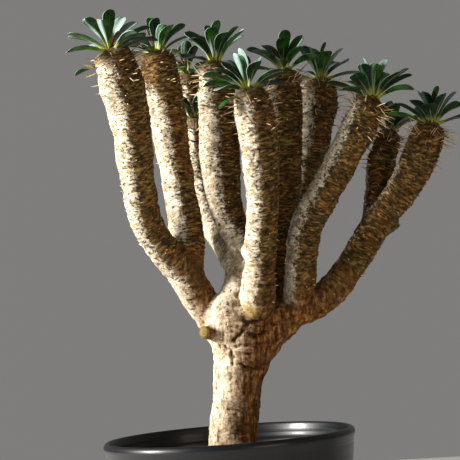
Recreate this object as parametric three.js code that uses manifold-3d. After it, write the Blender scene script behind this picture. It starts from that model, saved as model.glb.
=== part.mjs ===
// A potted Euphorbia guillauminiana: a woody caudex plant with a short trunk, a candelabra of thick
// ringed branches armed with spines, a rosette of folded leaves on every branch tip, and a round
// tapered pot filled with gritty soil. Millimetres, +Z up. The origin is the middle of the pot's
// underside, and the plant's best side faces -Y.
import * as THREE from "three";
import Module from "manifold-3d";

const wasm = await Module();
wasm.setup();

// Pot: a glazed tapered cylinder with a rounded, slightly flared rim and drain holes in its floor.
// The rim's widest ring lies rimDrop below the top. From there it rounds in to its crest, and
// inside it falls away to the wall over mouthDrop.
const POT = {
  height: 150,
  rimRadius: 90,
  baseRadius: 75,
  wall: 4.2,
  floor: 6,
  flare: 1.2,
  flareHeight: 3,
  rimDrop: 4.2,
  rimRounding: 3,
  rimSteps: 3,
  innerEase: 1.2,
  mouthDrop: 5,
  footBevel: 2,
  segments: 40,
};
const DRAIN = { count: 4, radius: 7, ringRadius: 42, segments: 12 };

// Soil: fills the pot to a little below the rim and carries the plant in a plain hole.
const SOIL = {
  level: 128,
  clearance: 0.5,
  crown: 2.5,
  crownShape: 0.7,
  grain: 0.9,
  grainTurns: [0.9, 1.1],
  segments: 32,
  rings: 5,
};

// Gap between pieces that touch in the real plant.
const GAP = 0.3;

// Woody body. The trunk and each stem is a list of [x, y, z, radius] stations, from its root inside
// the wood that carries it to its far end. A stem ends at the seat of its leaf rosette.
const TRUNK = [
  [1, 0, 88, 13],
  [1, 0, 108, 16],
  [1, 0, 128, 17.6],
  [2, 0, 142, 17.2],
  [6, 0, 167, 17.1],
  [10, 0, 191, 17.8],
  [14, 1, 207, 19.6],
  [16, 2, 219, 17],
  [17, 4, 230, 9],
];
// The trunk's broad front, where the branches spring from it.
const TRUNK_SPREAD = [
  [12, -1, 200, 13],
  [15, -4, 212, 14.5],
  [16.5, -6.5, 224, 13.5],
  [17.5, -7, 236, 11],
  [18, -5, 246, 8.5],
];
const STEMS = {
  left_outer: [
    [13, 9, 205, 12], [6, 11, 216, 12.4], [-1, 9, 226, 12.2], [-9, 4, 239, 11.6], [-17, -2, 254, 12],
    [-24, -7, 268, 12], [-34, -13, 281, 11.4], [-43, -18, 295, 11.1], [-49, -24, 315, 11.8],
    [-51, -30, 342, 12.3], [-53, -36, 377, 13.7], [-58, -40, 405, 14.8], [-63, -42, 423, 12.5],
  ],
  left_inner: [
    [-18, -8, 254, 8], [-20, -4, 268, 10.8], [-19, 2, 287, 12.1], [-22, 10, 319, 12],
    [-25, 16, 350, 12.2], [-28, 22, 386, 13.5], [-31, 24, 406, 14.6], [-32, 25, 424, 12.3],
  ],
  centre_left: [
    [30, -12, 256, 8], [29, -8, 267, 9.4], [26, -3, 277, 9.8], [19.5, 2, 287, 10.2], [14, 6, 297, 11],
    [9.5, 8, 312, 12], [8, 8, 326, 13.2], [8, 8, 345, 14.6], [9, 6, 370, 14.7], [9, 4, 394, 13.5],
    [9, 3, 412, 11],
  ],
  centre_front: [
    [22, 2, 226, 9], [25, -6, 234, 10.4], [27.5, -13, 242, 12.4], [28.5, -19, 250, 12.8],
    [29.5, -23, 259, 11.7], [31, -26, 269, 10.4], [32, -29, 281, 11.2], [35, -34, 306, 11.2],
    [36, -38, 328, 11.9], [36, -43, 357, 13.3], [34, -46, 376, 14.2], [31.5, -47, 388.5, 11.5],
  ],
  centre_right: [
    [27, 6, 222, 8], [37, 14, 240, 10.8], [43, 20, 262, 11], [47, 24, 285, 12], [50, 28, 310, 12.9],
    [53, 30, 336, 13.5], [56, 32, 368, 13.8], [58, 34, 390, 13.1], [59, 34, 405, 11],
  ],
  back_right: [
    [38, 14, 234, 7], [47, 24, 250, 9.6], [55, 38, 274, 10.2], [64, 50, 304, 10.4], [72, 58, 335, 11.4],
    [80, 62, 364, 12.5], [85, 64, 384, 13.3], [86, 65, 398, 11],
  ],
  right_front: [
    [54, 8, 230, 7], [56, 1, 244, 10.4], [59, -7, 259, 11.6], [60.5, -11, 272, 11.5], [67, -18, 297, 11],
    [78, -22, 314, 11.7], [96, -28, 343, 11.9], [107, -32, 361, 12.7], [116, -34, 377, 11],
  ],
  right_outer: [
    [17, 1, 206, 14], [27, 3, 216, 15], [39, 4, 225, 14], [52, 6, 233, 11.8], [62.5, 7, 235.5, 11],
    [73, 8, 240.5, 10.6], [84.5, 12, 249.5, 10.6], [98.5, 16, 265.5, 10.9], [110, 19, 281, 11.3], [119, 19, 294, 11],
    [129, 16, 306, 11.2], [140, 10, 319, 12.2], [149, 4, 335, 12.9], [156, 0, 349, 12.4],
    [159.5, -1, 357, 10.8],
  ],
  right_short: [
    [111, 20, 284, 6], [117, 27, 301, 9], [121, 34, 316, 9.4], [126, 42, 338, 10.3], [132, 46, 355, 9],
  ],
  back_short: [
    [13, 4, 204, 13], [7, -2, 217, 14.2], [4.5, -5, 228, 14.4], [7, -6, 238, 13.2], [12, -4, 247, 11.3],
    [14.5, 0, 257, 10], [14.5, 6, 267, 9.5], [11, 15, 276, 9.1], [6, 25, 286, 9], [0, 36, 297, 8.9],
    [-4, 45, 309, 8.7], [-7, 54, 325, 8.6], [-9, 61, 345, 8.6], [-9, 64, 363, 8.5], [-9, 65, 375, 8],
  ],
  back_tall: [
    [4, 28, 287, 6], [1, 43, 297, 8.2], [-3, 59, 311, 8.7], [-7, 78, 341, 8.9], [-10, 88, 375, 9.7],
    [-11, 92, 398, 9.8], [-12, 93, 411, 8.6],
  ],
};
// Short stubs left where shoots were cut off.
const STUBS = [
  [[0, -5, 222, 6], [-8, -12.5, 223.5, 4.9], [-12.5, -17, 224.3, 4.5]],
  [[119, 20, 287, 5], [129, 19, 289, 3.2], [132.5, 18.5, 291.5, 2.8]],
];
const WOOD = { sides: 10, ringSpacing: 9, ridge: 0.03, lobe: 0.025, lobeTurn: 0.09 };
const TIP = { seatRadius: 6.6, shoulderDrop: 4, shoulderShare: 0.8 };
const STUB = { sides: 8, ringSpacing: 3 };

// Spines stand in a spiral on the upper part of each branch.
const SPINE = {
  seed: 271,
  count: 16,
  firstDrop: 4.5,
  lastDrop: 38,
  crowding: 1.5,
  shortest: 4,
  longest: 13.5,
  baseRadius: 0.85,
  sides: 3,
  sunk: 3,
  rootShare: 0.95,
  bearingPlay: 0.3,
  lengthPlay: 0.2,
  lift: 0.15,
  leafClearance: 7,
  checkedShares: [0.3, 0.65, 1],
};

// Leaves: spatula-shaped, folded along the midrib and a little twisted. Upright ones are smaller.
const LEAF = {
  length: 32.5,
  uprightLength: 27.5,
  width: 12.5,
  uprightWidth: 10,
  midribDepth: 1.7,
  tipDepth: 1,
  fold: 0.64,
  bend: 0.5,
  twist: 0.45,
  seatLift: 0.16,
};
// Position and half width of the blade's stations, as shares of its length and half width.
const LEAF_OUTLINE = [[0, 0.2], [0.42, 0.5], [0.7, 0.98], [0.88, 0.86], [1, 0.24]];
// Each leaf of a rosette twists by its own amount, which this step spreads evenly.
const LEAF_TWIST_STEP = 2.2;
const BUD = { baseRadius: 6.4, topRadius: 2.4, height: 5.5, lowRoot: 1.8, highRoot: 4.6, rootSunk: 1.8, sides: 8 };

// Each rosette holds the leaves of the plant's best side, as [bearing, rise] in degrees, where
// bearing 270 faces -Y, and then leaves of an even spiral wherever there is room, up to its count.
const ROSETTES = {
  left_outer: {
    leaves: 15,
    size: 1,
    turn: 0.3,
    seen: [
      [195, 25], [225, 47], [262, 40], [285, 72], [214, -5], [312, 16], [36, 40], [55, 52], [40, 18],
      [55, -3], [112, 48], [128, 8],
    ],
  },
  left_inner: {
    leaves: 14,
    size: 0.9,
    turn: 1.1,
    seen: [[100, 50], [275, 62], [292, 40], [55, 36], [300, 15], [135, 30], [140, 2]],
  },
  centre_left: {
    leaves: 14,
    size: 1.04,
    turn: 2.3,
    seen: [[238, 32], [100, 66], [160, 50], [120, 44], [270, 50], [70, 40], [35, 38], [292, 34], [232, 6]],
  },
  centre_front: {
    leaves: 14,
    size: 1,
    turn: 0.7,
    seen: [[215, 30], [207, 8], [250, 54], [232, -12], [95, 60], [60, 48], [287, 34], [325, 22], [135, 46]],
  },
  centre_right: {
    leaves: 13,
    size: 1,
    turn: 1.9,
    seen: [[125, 42], [270, 50], [80, 48], [298, 28], [45, 32], [318, 12]],
  },
  back_right: {
    leaves: 12,
    size: 0.95,
    turn: 2.9,
    seen: [[285, 42], [315, 22], [255, 24], [238, 6], [60, 28]],
  },
  right_front: {
    leaves: 14,
    size: 1,
    turn: 0.2,
    seen: [[248, 52], [240, 32], [278, 50], [75, 46], [315, 32], [325, 8], [225, 12]],
  },
  right_short: { leaves: 10, size: 0.85, turn: 1.4, seen: [[265, 30], [75, 40], [300, 24]] },
  right_outer: {
    leaves: 14,
    size: 0.93,
    turn: 2.6,
    seen: [[230, 38], [135, 18], [250, 55], [85, 42], [292, 46], [318, 26]],
  },
  back_short: { leaves: 9, size: 0.8, turn: 0.9, seen: [[240, 40]] },
  back_tall: { leaves: 10, size: 0.85, turn: 1.7, seen: [[200, 35]] },
};
// The spiral's even spread of directions, and how far apart in radians two leaves stay.
const SPIRAL = { directions: 60, stride: 23, lowest: 0.03, highest: 1.4, apart: 0.44 };
// A rosette this far below its neighbour leaves it free to spread over it.
const NEIGHBOUR = { freeDrop: 30, margin: 1.4 };
const GOLDEN_ANGLE = Math.PI * (3 - Math.sqrt(5));

const COLOURS = {
  glaze: { color: 0x0b0b0e, roughness: 0.22, metalness: 0 },
  soil: { color: 0x5a4634, roughness: 0.95, metalness: 0 },
  bark: { color: 0xa68f6c, roughness: 0.85, metalness: 0 },
  leaf: { color: 0x1f4a22, roughness: 0.42, metalness: 0 },
};

// Park and Miller's generator, so that every build draws the same plant.
function drawer(seed) {
  let state = seed;
  return () => {
    state = (state * 16807) % 2147483647;
    return state / 2147483647;
  };
}

const point = ([x, y, z]) => new THREE.Vector3(x, y, z);
const mix = (a, b, share) => a + (b - a) * share;
const radians = (degrees) => (degrees * Math.PI) / 180;

// Skins rings of points, all with the same count and turning the same way, as one closed body.
function loft(rings) {
  const sides = rings[0].length;
  const index = [];
  for (let ring = 0; ring < rings.length - 1; ring += 1) {
    for (let side = 0; side < sides; side += 1) {
      const a = ring * sides + side;
      const b = ring * sides + ((side + 1) % sides);
      const [c, d] = [a + sides, b + sides];
      if (side % 2) index.push(a, b, c, b, d, c);
      else index.push(a, b, d, a, d, c);
    }
  }
  const last = (rings.length - 1) * sides;
  for (let side = 1; side < sides - 1; side += 1) {
    index.push(0, side + 1, side, last, last + side, last + side + 1);
  }
  const geometry = new THREE.BufferGeometry().setFromPoints(rings.flat());
  return geometry.setIndex(index);
}

// A three.js geometry as a solid that can be joined and cut. Rounding its corners to a thousandth
// of a millimetre merges the ones that a lathe or a cone repeats.
function solid(geometry) {
  const flat = geometry.index ? geometry.toNonIndexed() : geometry;
  const { array } = flat.getAttribute("position");
  const seen = new Map();
  const vertices = [];
  const triangles = [];
  for (let i = 0; i < array.length; i += 9) {
    const corners = [0, 3, 6].map((offset) => {
      const xyz = [...array.slice(i + offset, i + offset + 3)].map((v) => Math.round(v * 1000) / 1000 + 0);
      const key = xyz.join();
      if (!seen.has(key)) {
        seen.set(key, vertices.length / 3);
        vertices.push(...xyz);
      }
      return seen.get(key);
    });
    if (new Set(corners).size === 3) triangles.push(...corners);
  }
  return new wasm.Manifold(
    new wasm.Mesh({
      numProp: 3,
      vertProperties: new Float32Array(vertices),
      triVerts: new Uint32Array(triangles),
    }),
  );
}

function meshOf(name, body, finish) {
  const { numProp, vertProperties, triVerts, numVert } = body.getMesh();
  const positions = new Float32Array(numVert * 3);
  for (let i = 0; i < numVert; i += 1) {
    positions.set(vertProperties.subarray(i * numProp, i * numProp + 3), i * 3);
  }
  const geometry = new THREE.BufferGeometry();
  geometry.setAttribute("position", new THREE.BufferAttribute(positions, 3));
  geometry.setIndex(new THREE.BufferAttribute(triVerts, 1));
  geometry.computeVertexNormals();
  const mesh = new THREE.Mesh(geometry, new THREE.MeshStandardMaterial(finish));
  mesh.name = name;
  return mesh;
}

// A stretch of wood: its centre line, its radius at any share of its length, and its far end.
function stretch(stations) {
  const curve = new THREE.CatmullRomCurve3(stations.map(point), false, "centripetal");
  const radii = stations.map((station) => station[3]);
  const radiusAt = (share) => {
    const place = curve.getUtoTmapping(share) * (stations.length - 1);
    const before = Math.min(Math.floor(place), stations.length - 2);
    return mix(radii[before], radii[before + 1], place - before);
  };
  return { curve, radiusAt, length: curve.getLength(), end: curve.getPointAt(1), heading: curve.getTangentAt(1) };
}

// Two directions across the curve at each share, carried along it without twisting.
function crossings(curve, shares) {
  const across = new THREE.Vector3(1, 0, 0);
  return shares.map((share) => {
    const along = curve.getTangentAt(share);
    across.addScaledVector(along, -across.dot(along)).normalize();
    return [across.clone(), along.clone().cross(across)];
  });
}

// Skins a stretch with low ridges round it. A tip closes in to the seat of its rosette.
function woodBody(stations, { tip = false, grow = 0, sides = WOOD.sides, spacing = WOOD.ringSpacing } = {}) {
  const { curve, radiusAt, length } = stretch(stations);
  const bodyEnd = tip ? 1 - TIP.shoulderDrop / length : 1;
  const steps = Math.max(2, Math.round((length * bodyEnd) / spacing));
  const shares = Array.from({ length: steps + 1 }, (_, i) => (i / steps) * bodyEnd);
  const scales = shares.map(() => null);
  if (tip) {
    scales[steps] = TIP.shoulderShare * radiusAt(1) + (1 - TIP.shoulderShare) * TIP.seatRadius;
    shares.push(1);
    scales.push(TIP.seatRadius);
  }
  const frames = crossings(curve, shares);
  const rings = shares.map((share, i) => {
    const centre = curve.getPointAt(share);
    return Array.from({ length: sides }, (_, side) => {
      const angle = (side / sides) * 2 * Math.PI;
      const ridge = 1 + (i % 2 ? WOOD.ridge : -WOOD.ridge);
      const lobe = 1 + WOOD.lobe * Math.sin(3 * angle + share * length * WOOD.lobeTurn);
      const radius = (scales[i] ?? radiusAt(share) * ridge * lobe) + grow;
      return centre
        .clone()
        .addScaledVector(frames[i][0], radius * Math.cos(angle))
        .addScaledVector(frames[i][1], radius * Math.sin(angle));
    });
  });
  return solid(loft(rings));
}

const tips = Object.fromEntries(
  Object.entries(STEMS).map(([name, stations]) => {
    const { end, heading } = stretch(stations);
    return [name, { end, heading }];
  }),
);

// How far a rosette may reach from its tip on a bearing, seen from above, before it meets the
// middle line between it and a neighbour.
function reach(name, bearing) {
  const own = tips[name].end;
  const limits = Object.entries(tips).map(([other, { end }]) => {
    if (other === name || end.z < own.z - NEIGHBOUR.freeDrop) return Infinity;
    const away = Math.hypot(end.x - own.x, end.y - own.y);
    const turn = Math.cos(Math.atan2(end.y - own.y, end.x - own.x) - bearing);
    return turn > 0 ? away / 2 / turn : Infinity;
  });
  return Math.min(...limits) - NEIGHBOUR.margin;
}

// The bearing and rise of each leaf of a rosette, in radians.
function leafDirections({ leaves, turn, seen }) {
  const found = seen.map(([bearing, rise]) => [radians(bearing), radians(rise)]);
  const aim = ([bearing, rise]) =>
    new THREE.Vector3(Math.cos(bearing) * Math.cos(rise), Math.sin(bearing) * Math.cos(rise), Math.sin(rise));
  for (let i = 0; i < SPIRAL.directions && found.length < leaves; i += 1) {
    const step = (i * SPIRAL.stride) % SPIRAL.directions;
    const height = mix(Math.sin(SPIRAL.lowest), Math.sin(SPIRAL.highest), step / (SPIRAL.directions - 1));
    const next = [turn + step * GOLDEN_ANGLE, Math.asin(height)];
    if (found.every((leaf) => aim(leaf).angleTo(aim(next)) > SPIRAL.apart)) found.push(next);
  }
  return found;
}

// Each leaf of a rosette as the stations of its midrib: where they are, which way the upper face
// looks there, and the leaf's half width. It leaves the bud steeply and arches over.
function leafStations(name) {
  const { size } = ROSETTES[name];
  const { end, heading } = tips[name];
  return leafDirections(ROSETTES[name]).map(([bearing, wanted], place) => {
    const upright = Math.max(0, Math.sin(wanted));
    const length = mix(LEAF.length, LEAF.uprightLength, upright) * size;
    const width = mix(LEAF.width, LEAF.uprightWidth, upright) * size;
    const sweep = Math.atan2(width / 2, length);
    const room = Math.min(...[-sweep, 0, sweep].map((turn) => reach(name, bearing + turn)));
    const outward = new THREE.Vector3(Math.cos(bearing), Math.sin(bearing), 0);
    const seatSlope = Math.atan2(-heading.dot(outward), heading.z);
    const rise = Math.max(
      wanted,
      Math.acos(Math.min(1, room / (length + BUD.lowRoot))),
      seatSlope - LEAF.bend / 2 + LEAF.seatLift,
    );
    const up = new THREE.Vector3(0, 0, 1);
    const rootHeight = mix(BUD.lowRoot, BUD.highRoot, upright);
    const rootRadius = mix(BUD.baseRadius, BUD.topRadius, rootHeight / BUD.height) - BUD.rootSunk;
    const centre = end
      .clone()
      .addScaledVector(heading, rootHeight + GAP)
      .addScaledVector(outward, rootRadius);
    return LEAF_OUTLINE.map(([share, widthShare], i) => {
      const before = i ? LEAF_OUTLINE[i - 1][0] : 0;
      const slope = rise + LEAF.bend * (0.5 - (share + before) / 2);
      const step = (share - before) * length;
      centre.addScaledVector(outward, step * Math.cos(slope)).addScaledVector(up, step * Math.sin(slope));
      const along = outward.clone().multiplyScalar(Math.cos(slope)).addScaledVector(up, Math.sin(slope));
      const twist = LEAF.twist * share * Math.sin(LEAF_TWIST_STEP * place);
      const sideways = new THREE.Vector3(-Math.sin(bearing), Math.cos(bearing), 0).applyAxisAngle(along, twist);
      return {
        centre: centre.clone(),
        normal: along.cross(sideways),
        sideways,
        half: (width / 2) * widthShare,
        depth: mix(LEAF.midribDepth, LEAF.tipDepth, share),
      };
    });
  });
}

// One leaf: at each station two margins, raised by the fold, and the midrib's two faces.
function leaf(stations) {
  const rings = stations.map(({ centre, normal, sideways, half, depth }) => {
    const margin = (sign) =>
      centre
        .clone()
        .addScaledVector(sideways, sign * half * Math.cos(LEAF.fold))
        .addScaledVector(normal, half * Math.sin(LEAF.fold));
    return [
      margin(-1),
      centre.clone().addScaledVector(normal, -depth / 2),
      margin(1),
      centre.clone().addScaledVector(normal, depth / 2),
    ];
  });
  return solid(loft(rings));
}

// A rosette: a small bud on the seat of its stem, with the leaves' narrow feet sunk in it.
function rosette(name) {
  const { end, heading } = tips[name];
  const bud = new THREE.CylinderGeometry(BUD.topRadius, BUD.baseRadius, BUD.height, BUD.sides);
  bud.translate(0, BUD.height / 2 + GAP, 0);
  bud.applyQuaternion(new THREE.Quaternion().setFromUnitVectors(new THREE.Vector3(0, 1, 0), heading));
  bud.translate(end.x, end.y, end.z);
  return leafStations(name).reduce((body, stations) => body.add(leaf(stations)), solid(bud));
}

// One spine: a slim cone with its foot sunk in the wood.
function spine(root, direction, length) {
  const cone = new THREE.ConeGeometry(SPINE.baseRadius, length + SPINE.sunk, SPINE.sides);
  cone.translate(0, (length - SPINE.sunk) / 2, 0);
  cone.applyQuaternion(new THREE.Quaternion().setFromUnitVectors(new THREE.Vector3(0, 1, 0), direction));
  cone.translate(root.x, root.y, root.z);
  return solid(cone);
}

// Spines in a spiral down a stem, the longest at the top. Those that would meet a leaf are left out.
function spinesOf(stations, draw, leafPoints) {
  const { curve, radiusAt, length } = stretch(stations);
  const spines = [];
  for (let i = 0; i < SPINE.count; i += 1) {
    const drop = mix(SPINE.firstDrop, SPINE.lastDrop, (i / SPINE.count) ** SPINE.crowding);
    const share = 1 - drop / length;
    const [[across, side]] = crossings(curve, [share]);
    const bearing = i * GOLDEN_ANGLE + draw() * SPINE.bearingPlay;
    const outward = across.clone().multiplyScalar(Math.cos(bearing)).addScaledVector(side, Math.sin(bearing));
    const root = curve.getPointAt(share).addScaledVector(outward, radiusAt(share) * SPINE.rootShare);
    const direction = outward
      .clone()
      .addScaledVector(curve.getTangentAt(share), SPINE.lift * (draw() * 2 - 1))
      .normalize();
    const fullLength = mix(SPINE.longest, SPINE.shortest, drop / SPINE.lastDrop);
    const spineLength = fullLength * (1 - SPINE.lengthPlay * draw());
    const clear = SPINE.checkedShares.every((part) => {
      const place = root.clone().addScaledVector(direction, spineLength * part);
      return leafPoints.every((leafPoint) => leafPoint.distanceTo(place) > SPINE.leafClearance);
    });
    if (clear) spines.push(spine(root, direction, spineLength));
  }
  return spines;
}

// The pot's wall profile: half a section from the axis out, up the outside, over the rim, down
// the inside and back to the axis.
function potProfile() {
  const { height, rimRadius, baseRadius, wall, floor, flare, footBevel } = POT;
  const rimZ = height - POT.rimDrop;
  const rim = Array.from({ length: POT.rimSteps + 1 }, (_, i) => {
    const angle = ((i / POT.rimSteps) * Math.PI) / 2;
    const radius = rimRadius - POT.rimRounding * (1 - Math.cos(angle));
    return [radius, rimZ + POT.rimDrop * Math.sin(angle)];
  });
  const profile = [
    [0, 0],
    [baseRadius - footBevel, 0],
    [baseRadius, footBevel],
    [mix(baseRadius, rimRadius - flare, 0.5), rimZ / 2],
    [rimRadius - flare, rimZ - POT.flareHeight],
    ...rim,
    [rimRadius - wall, height - POT.innerEase],
    [rimRadius - wall - flare, height - POT.mouthDrop],
    [baseRadius - wall, floor],
    [0, floor],
  ];
  return profile.map(([radius, z]) => new THREE.Vector2(radius, z));
}

// Stands a lathe's or cylinder's own Y axis up along Z.
const upright = (geometry) => geometry.rotateX(Math.PI / 2);

function potBody() {
  const body = solid(upright(new THREE.LatheGeometry(potProfile(), POT.segments)));
  const holes = Array.from({ length: DRAIN.count }, (_, i) => {
    const bearing = ((i + 0.5) / DRAIN.count) * 2 * Math.PI;
    const hole = upright(new THREE.CylinderGeometry(DRAIN.radius, DRAIN.radius, POT.floor * 3, DRAIN.segments));
    hole.translate(DRAIN.ringRadius * Math.cos(bearing), DRAIN.ringRadius * Math.sin(bearing), POT.floor / 2);
    return solid(hole);
  });
  return holes.reduce((rest, hole) => rest.subtract(hole), body);
}

// The inside radius of the pot at a height above its floor.
const insideRadius = (z) =>
  mix(
    POT.baseRadius - POT.wall,
    POT.rimRadius - POT.wall - POT.flare,
    (z - POT.floor) / (POT.height - POT.mouthDrop - POT.floor),
  );

// Soil: a tapered body whose top is a low crown, roughened by a formula like coarse grit.
function soilBody() {
  const bottom = POT.floor + GAP;
  const edge = insideRadius(SOIL.level) - SOIL.clearance;
  const crown = Array.from({ length: SOIL.rings + 1 }, (_, ring) => {
    const share = 1 - ring / SOIL.rings;
    return new THREE.Vector2(edge * share, SOIL.level + SOIL.crown * (1 - share) ** SOIL.crownShape);
  });
  const foot = new THREE.Vector2(insideRadius(bottom) - SOIL.clearance, bottom);
  const profile = [new THREE.Vector2(0, bottom), foot, ...crown];
  const lathe = upright(new THREE.LatheGeometry(profile, SOIL.segments));
  const positions = lathe.getAttribute("position");
  const [turnX, turnY] = SOIL.grainTurns;
  for (let i = 0; i < positions.count; i += 1) {
    const [x, y, z] = [positions.getX(i), positions.getY(i), positions.getZ(i)];
    const grain = SOIL.grain * Math.sin(x * turnX) * Math.cos(y * turnY);
    if (z > SOIL.level) positions.setZ(i, z + grain);
  }
  const hole = woodBody(TRUNK, { grow: SOIL.clearance }).translate([0, 0, -GAP]);
  return solid(lathe).subtract(hole);
}

// The trunk, its stems, the cut stubs and all spines, grown together.
function woodAndSpines() {
  const draw = drawer(SPINE.seed);
  const leafPoints = Object.keys(ROSETTES).flatMap((name) =>
    leafStations(name).flatMap((stations) => stations.map(({ centre }) => centre)),
  );
  const stems = Object.values(STEMS);
  const pieces = [
    woodBody(TRUNK),
    woodBody(TRUNK_SPREAD),
    ...stems.map((stations) => woodBody(stations, { tip: true })),
    ...STUBS.map((stations) => woodBody(stations, { sides: STUB.sides, spacing: STUB.ringSpacing })),
    ...stems.flatMap((stations) => spinesOf(stations, draw, leafPoints)),
  ];
  return pieces.reduce((body, piece) => body.add(piece));
}

const plant = new THREE.Group();
plant.add(meshOf("pot", potBody(), COLOURS.glaze));
plant.add(meshOf("potting_soil", soilBody(), COLOURS.soil));
plant.add(meshOf("trunk_and_branches", woodAndSpines(), COLOURS.bark));
for (const name of Object.keys(ROSETTES)) {
  plant.add(meshOf(`leaf_rosette_${name}`, rosette(name), COLOURS.leaf));
}

export default plant;
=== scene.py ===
# %% [markdown]
# # A potted candelabra euphorbia
#
# The plant is a slow, woody euphorbia. A short trunk carries eleven thick branches that are ringed
# with old leaf scars, thorny near their tips, and each tip holds a rosette of folded leaves. It grows
# in grit in a round, dark glazed pot.
#
# The packed model holds every piece at its real size. This lesson keeps those forms and gives each one
# the fine shape and the finish that a solid with few faces can't carry. Everything below is worked out
# in millimetres in the model's own frame, and turned to metres only where a mesh is made.

# %% Load the packed model
import math
from collections import namedtuple
from itertools import product
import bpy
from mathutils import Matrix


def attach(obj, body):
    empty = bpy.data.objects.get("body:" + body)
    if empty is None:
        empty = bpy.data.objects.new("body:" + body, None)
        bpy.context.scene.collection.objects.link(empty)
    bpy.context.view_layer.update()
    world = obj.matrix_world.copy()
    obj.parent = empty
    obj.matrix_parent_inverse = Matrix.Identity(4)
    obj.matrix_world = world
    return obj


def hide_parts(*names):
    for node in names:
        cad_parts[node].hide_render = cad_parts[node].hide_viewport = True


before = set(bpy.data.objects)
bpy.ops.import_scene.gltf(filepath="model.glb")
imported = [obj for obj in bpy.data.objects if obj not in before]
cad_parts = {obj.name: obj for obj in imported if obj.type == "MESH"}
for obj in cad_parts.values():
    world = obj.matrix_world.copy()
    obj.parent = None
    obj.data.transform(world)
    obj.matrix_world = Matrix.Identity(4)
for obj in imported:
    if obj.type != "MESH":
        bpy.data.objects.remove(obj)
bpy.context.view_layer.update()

from types import SimpleNamespace

import bmesh
import bpy
import numpy as np
from mathutils import Matrix, Vector

MM = 0.001
print("nodes in the frame:", ", ".join(sorted(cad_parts)))

# %% [markdown]
# ## The camera
#
# A photograph's angle can be met by eye, or worked out from what it shows. Here the pot's rim looks
# like a thin ellipse and the trunk leans a little, so the camera stands level, a little above the rim,
# far away with a long lens, and is rolled by a few degrees. The lens is given as the number of pixels
# that one unit of slope covers, which is what a measurement on the picture gives.

# %% Camera
CAMERA = {"place": (0.0114, -1.8, 0.295), "roll": 4.2, "pixels": 2524.5, "picture": 460, "sensor": 36.0}


def add_camera():
    """A level camera that looks along +Y, rolled about its own axis."""
    data = bpy.data.cameras.new("portrait_camera")
    data.sensor_width = CAMERA["sensor"]
    data.lens = CAMERA["sensor"] * CAMERA["pixels"] / CAMERA["picture"]
    camera = bpy.data.objects.new("portrait_camera", data)
    bpy.context.scene.collection.objects.link(camera)
    level = Vector((0, -1, 0)).to_track_quat("Z", "Y").to_matrix().to_4x4()
    roll = Matrix.Rotation(-math.radians(CAMERA["roll"]), 4, "Z")
    camera.matrix_world = Matrix.Translation(CAMERA["place"]) @ level @ roll
    bpy.context.scene.camera = camera
    return camera


camera = add_camera()
print("lens in millimetres:", round(camera.data.lens, 1))

# %% [markdown]
# ## Shader maths that reads like maths
#
# A finish is a graph of nodes. It could be wired by hand, one link at a time, but then the formula is
# lost among the links. So a Wire stands for the value that comes out of a node, and adding or
# multiplying Wires adds the Math nodes. A Finish holds the material, and its node() adds any other kind
# of node. Colours are never sent through Math nodes, which would turn them grey: they are mixed.

# %% A value in a graph
class Wire:
    """A value in a material's graph. Sums and products of Wires add Math nodes."""

    def __init__(self, finish, socket):
        self.finish, self.socket = finish, socket

    def math(self, operation, first, second):
        return self.finish.node("ShaderNodeMath", {"operation": operation}, {0: first, 1: second})

    def __add__(self, other):
        return self.math("ADD", self, other)

    def __sub__(self, other):
        return self.math("SUBTRACT", self, other)

    def __rsub__(self, other):
        return self.math("SUBTRACT", other, self)

    def __mul__(self, other):
        return self.math("MULTIPLY", self, other)

    __radd__, __rmul__ = __add__, __mul__

    def between(self, low, high):
        """0 at or below low, 1 at or above high, and a smooth step from one to the other."""
        ends = {"Value": self, "From Min": low, "From Max": high}
        return self.finish.node("ShaderNodeMapRange", {"interpolation_type": "SMOOTHSTEP"}, ends)


def paint(red, green, blue):
    """A colour as a screen shows it, from 0 to 255, as the linear colour that a shader takes."""
    return tuple((part / 255 / 12.92 if part < 11 else ((part / 255 + 0.055) / 1.055) ** 2.4)
                 for part in (red, green, blue)) + (1.0,)


print("a mid grey in linear light:", [round(v, 3) for v in paint(128, 128, 128)[:3]])

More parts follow.
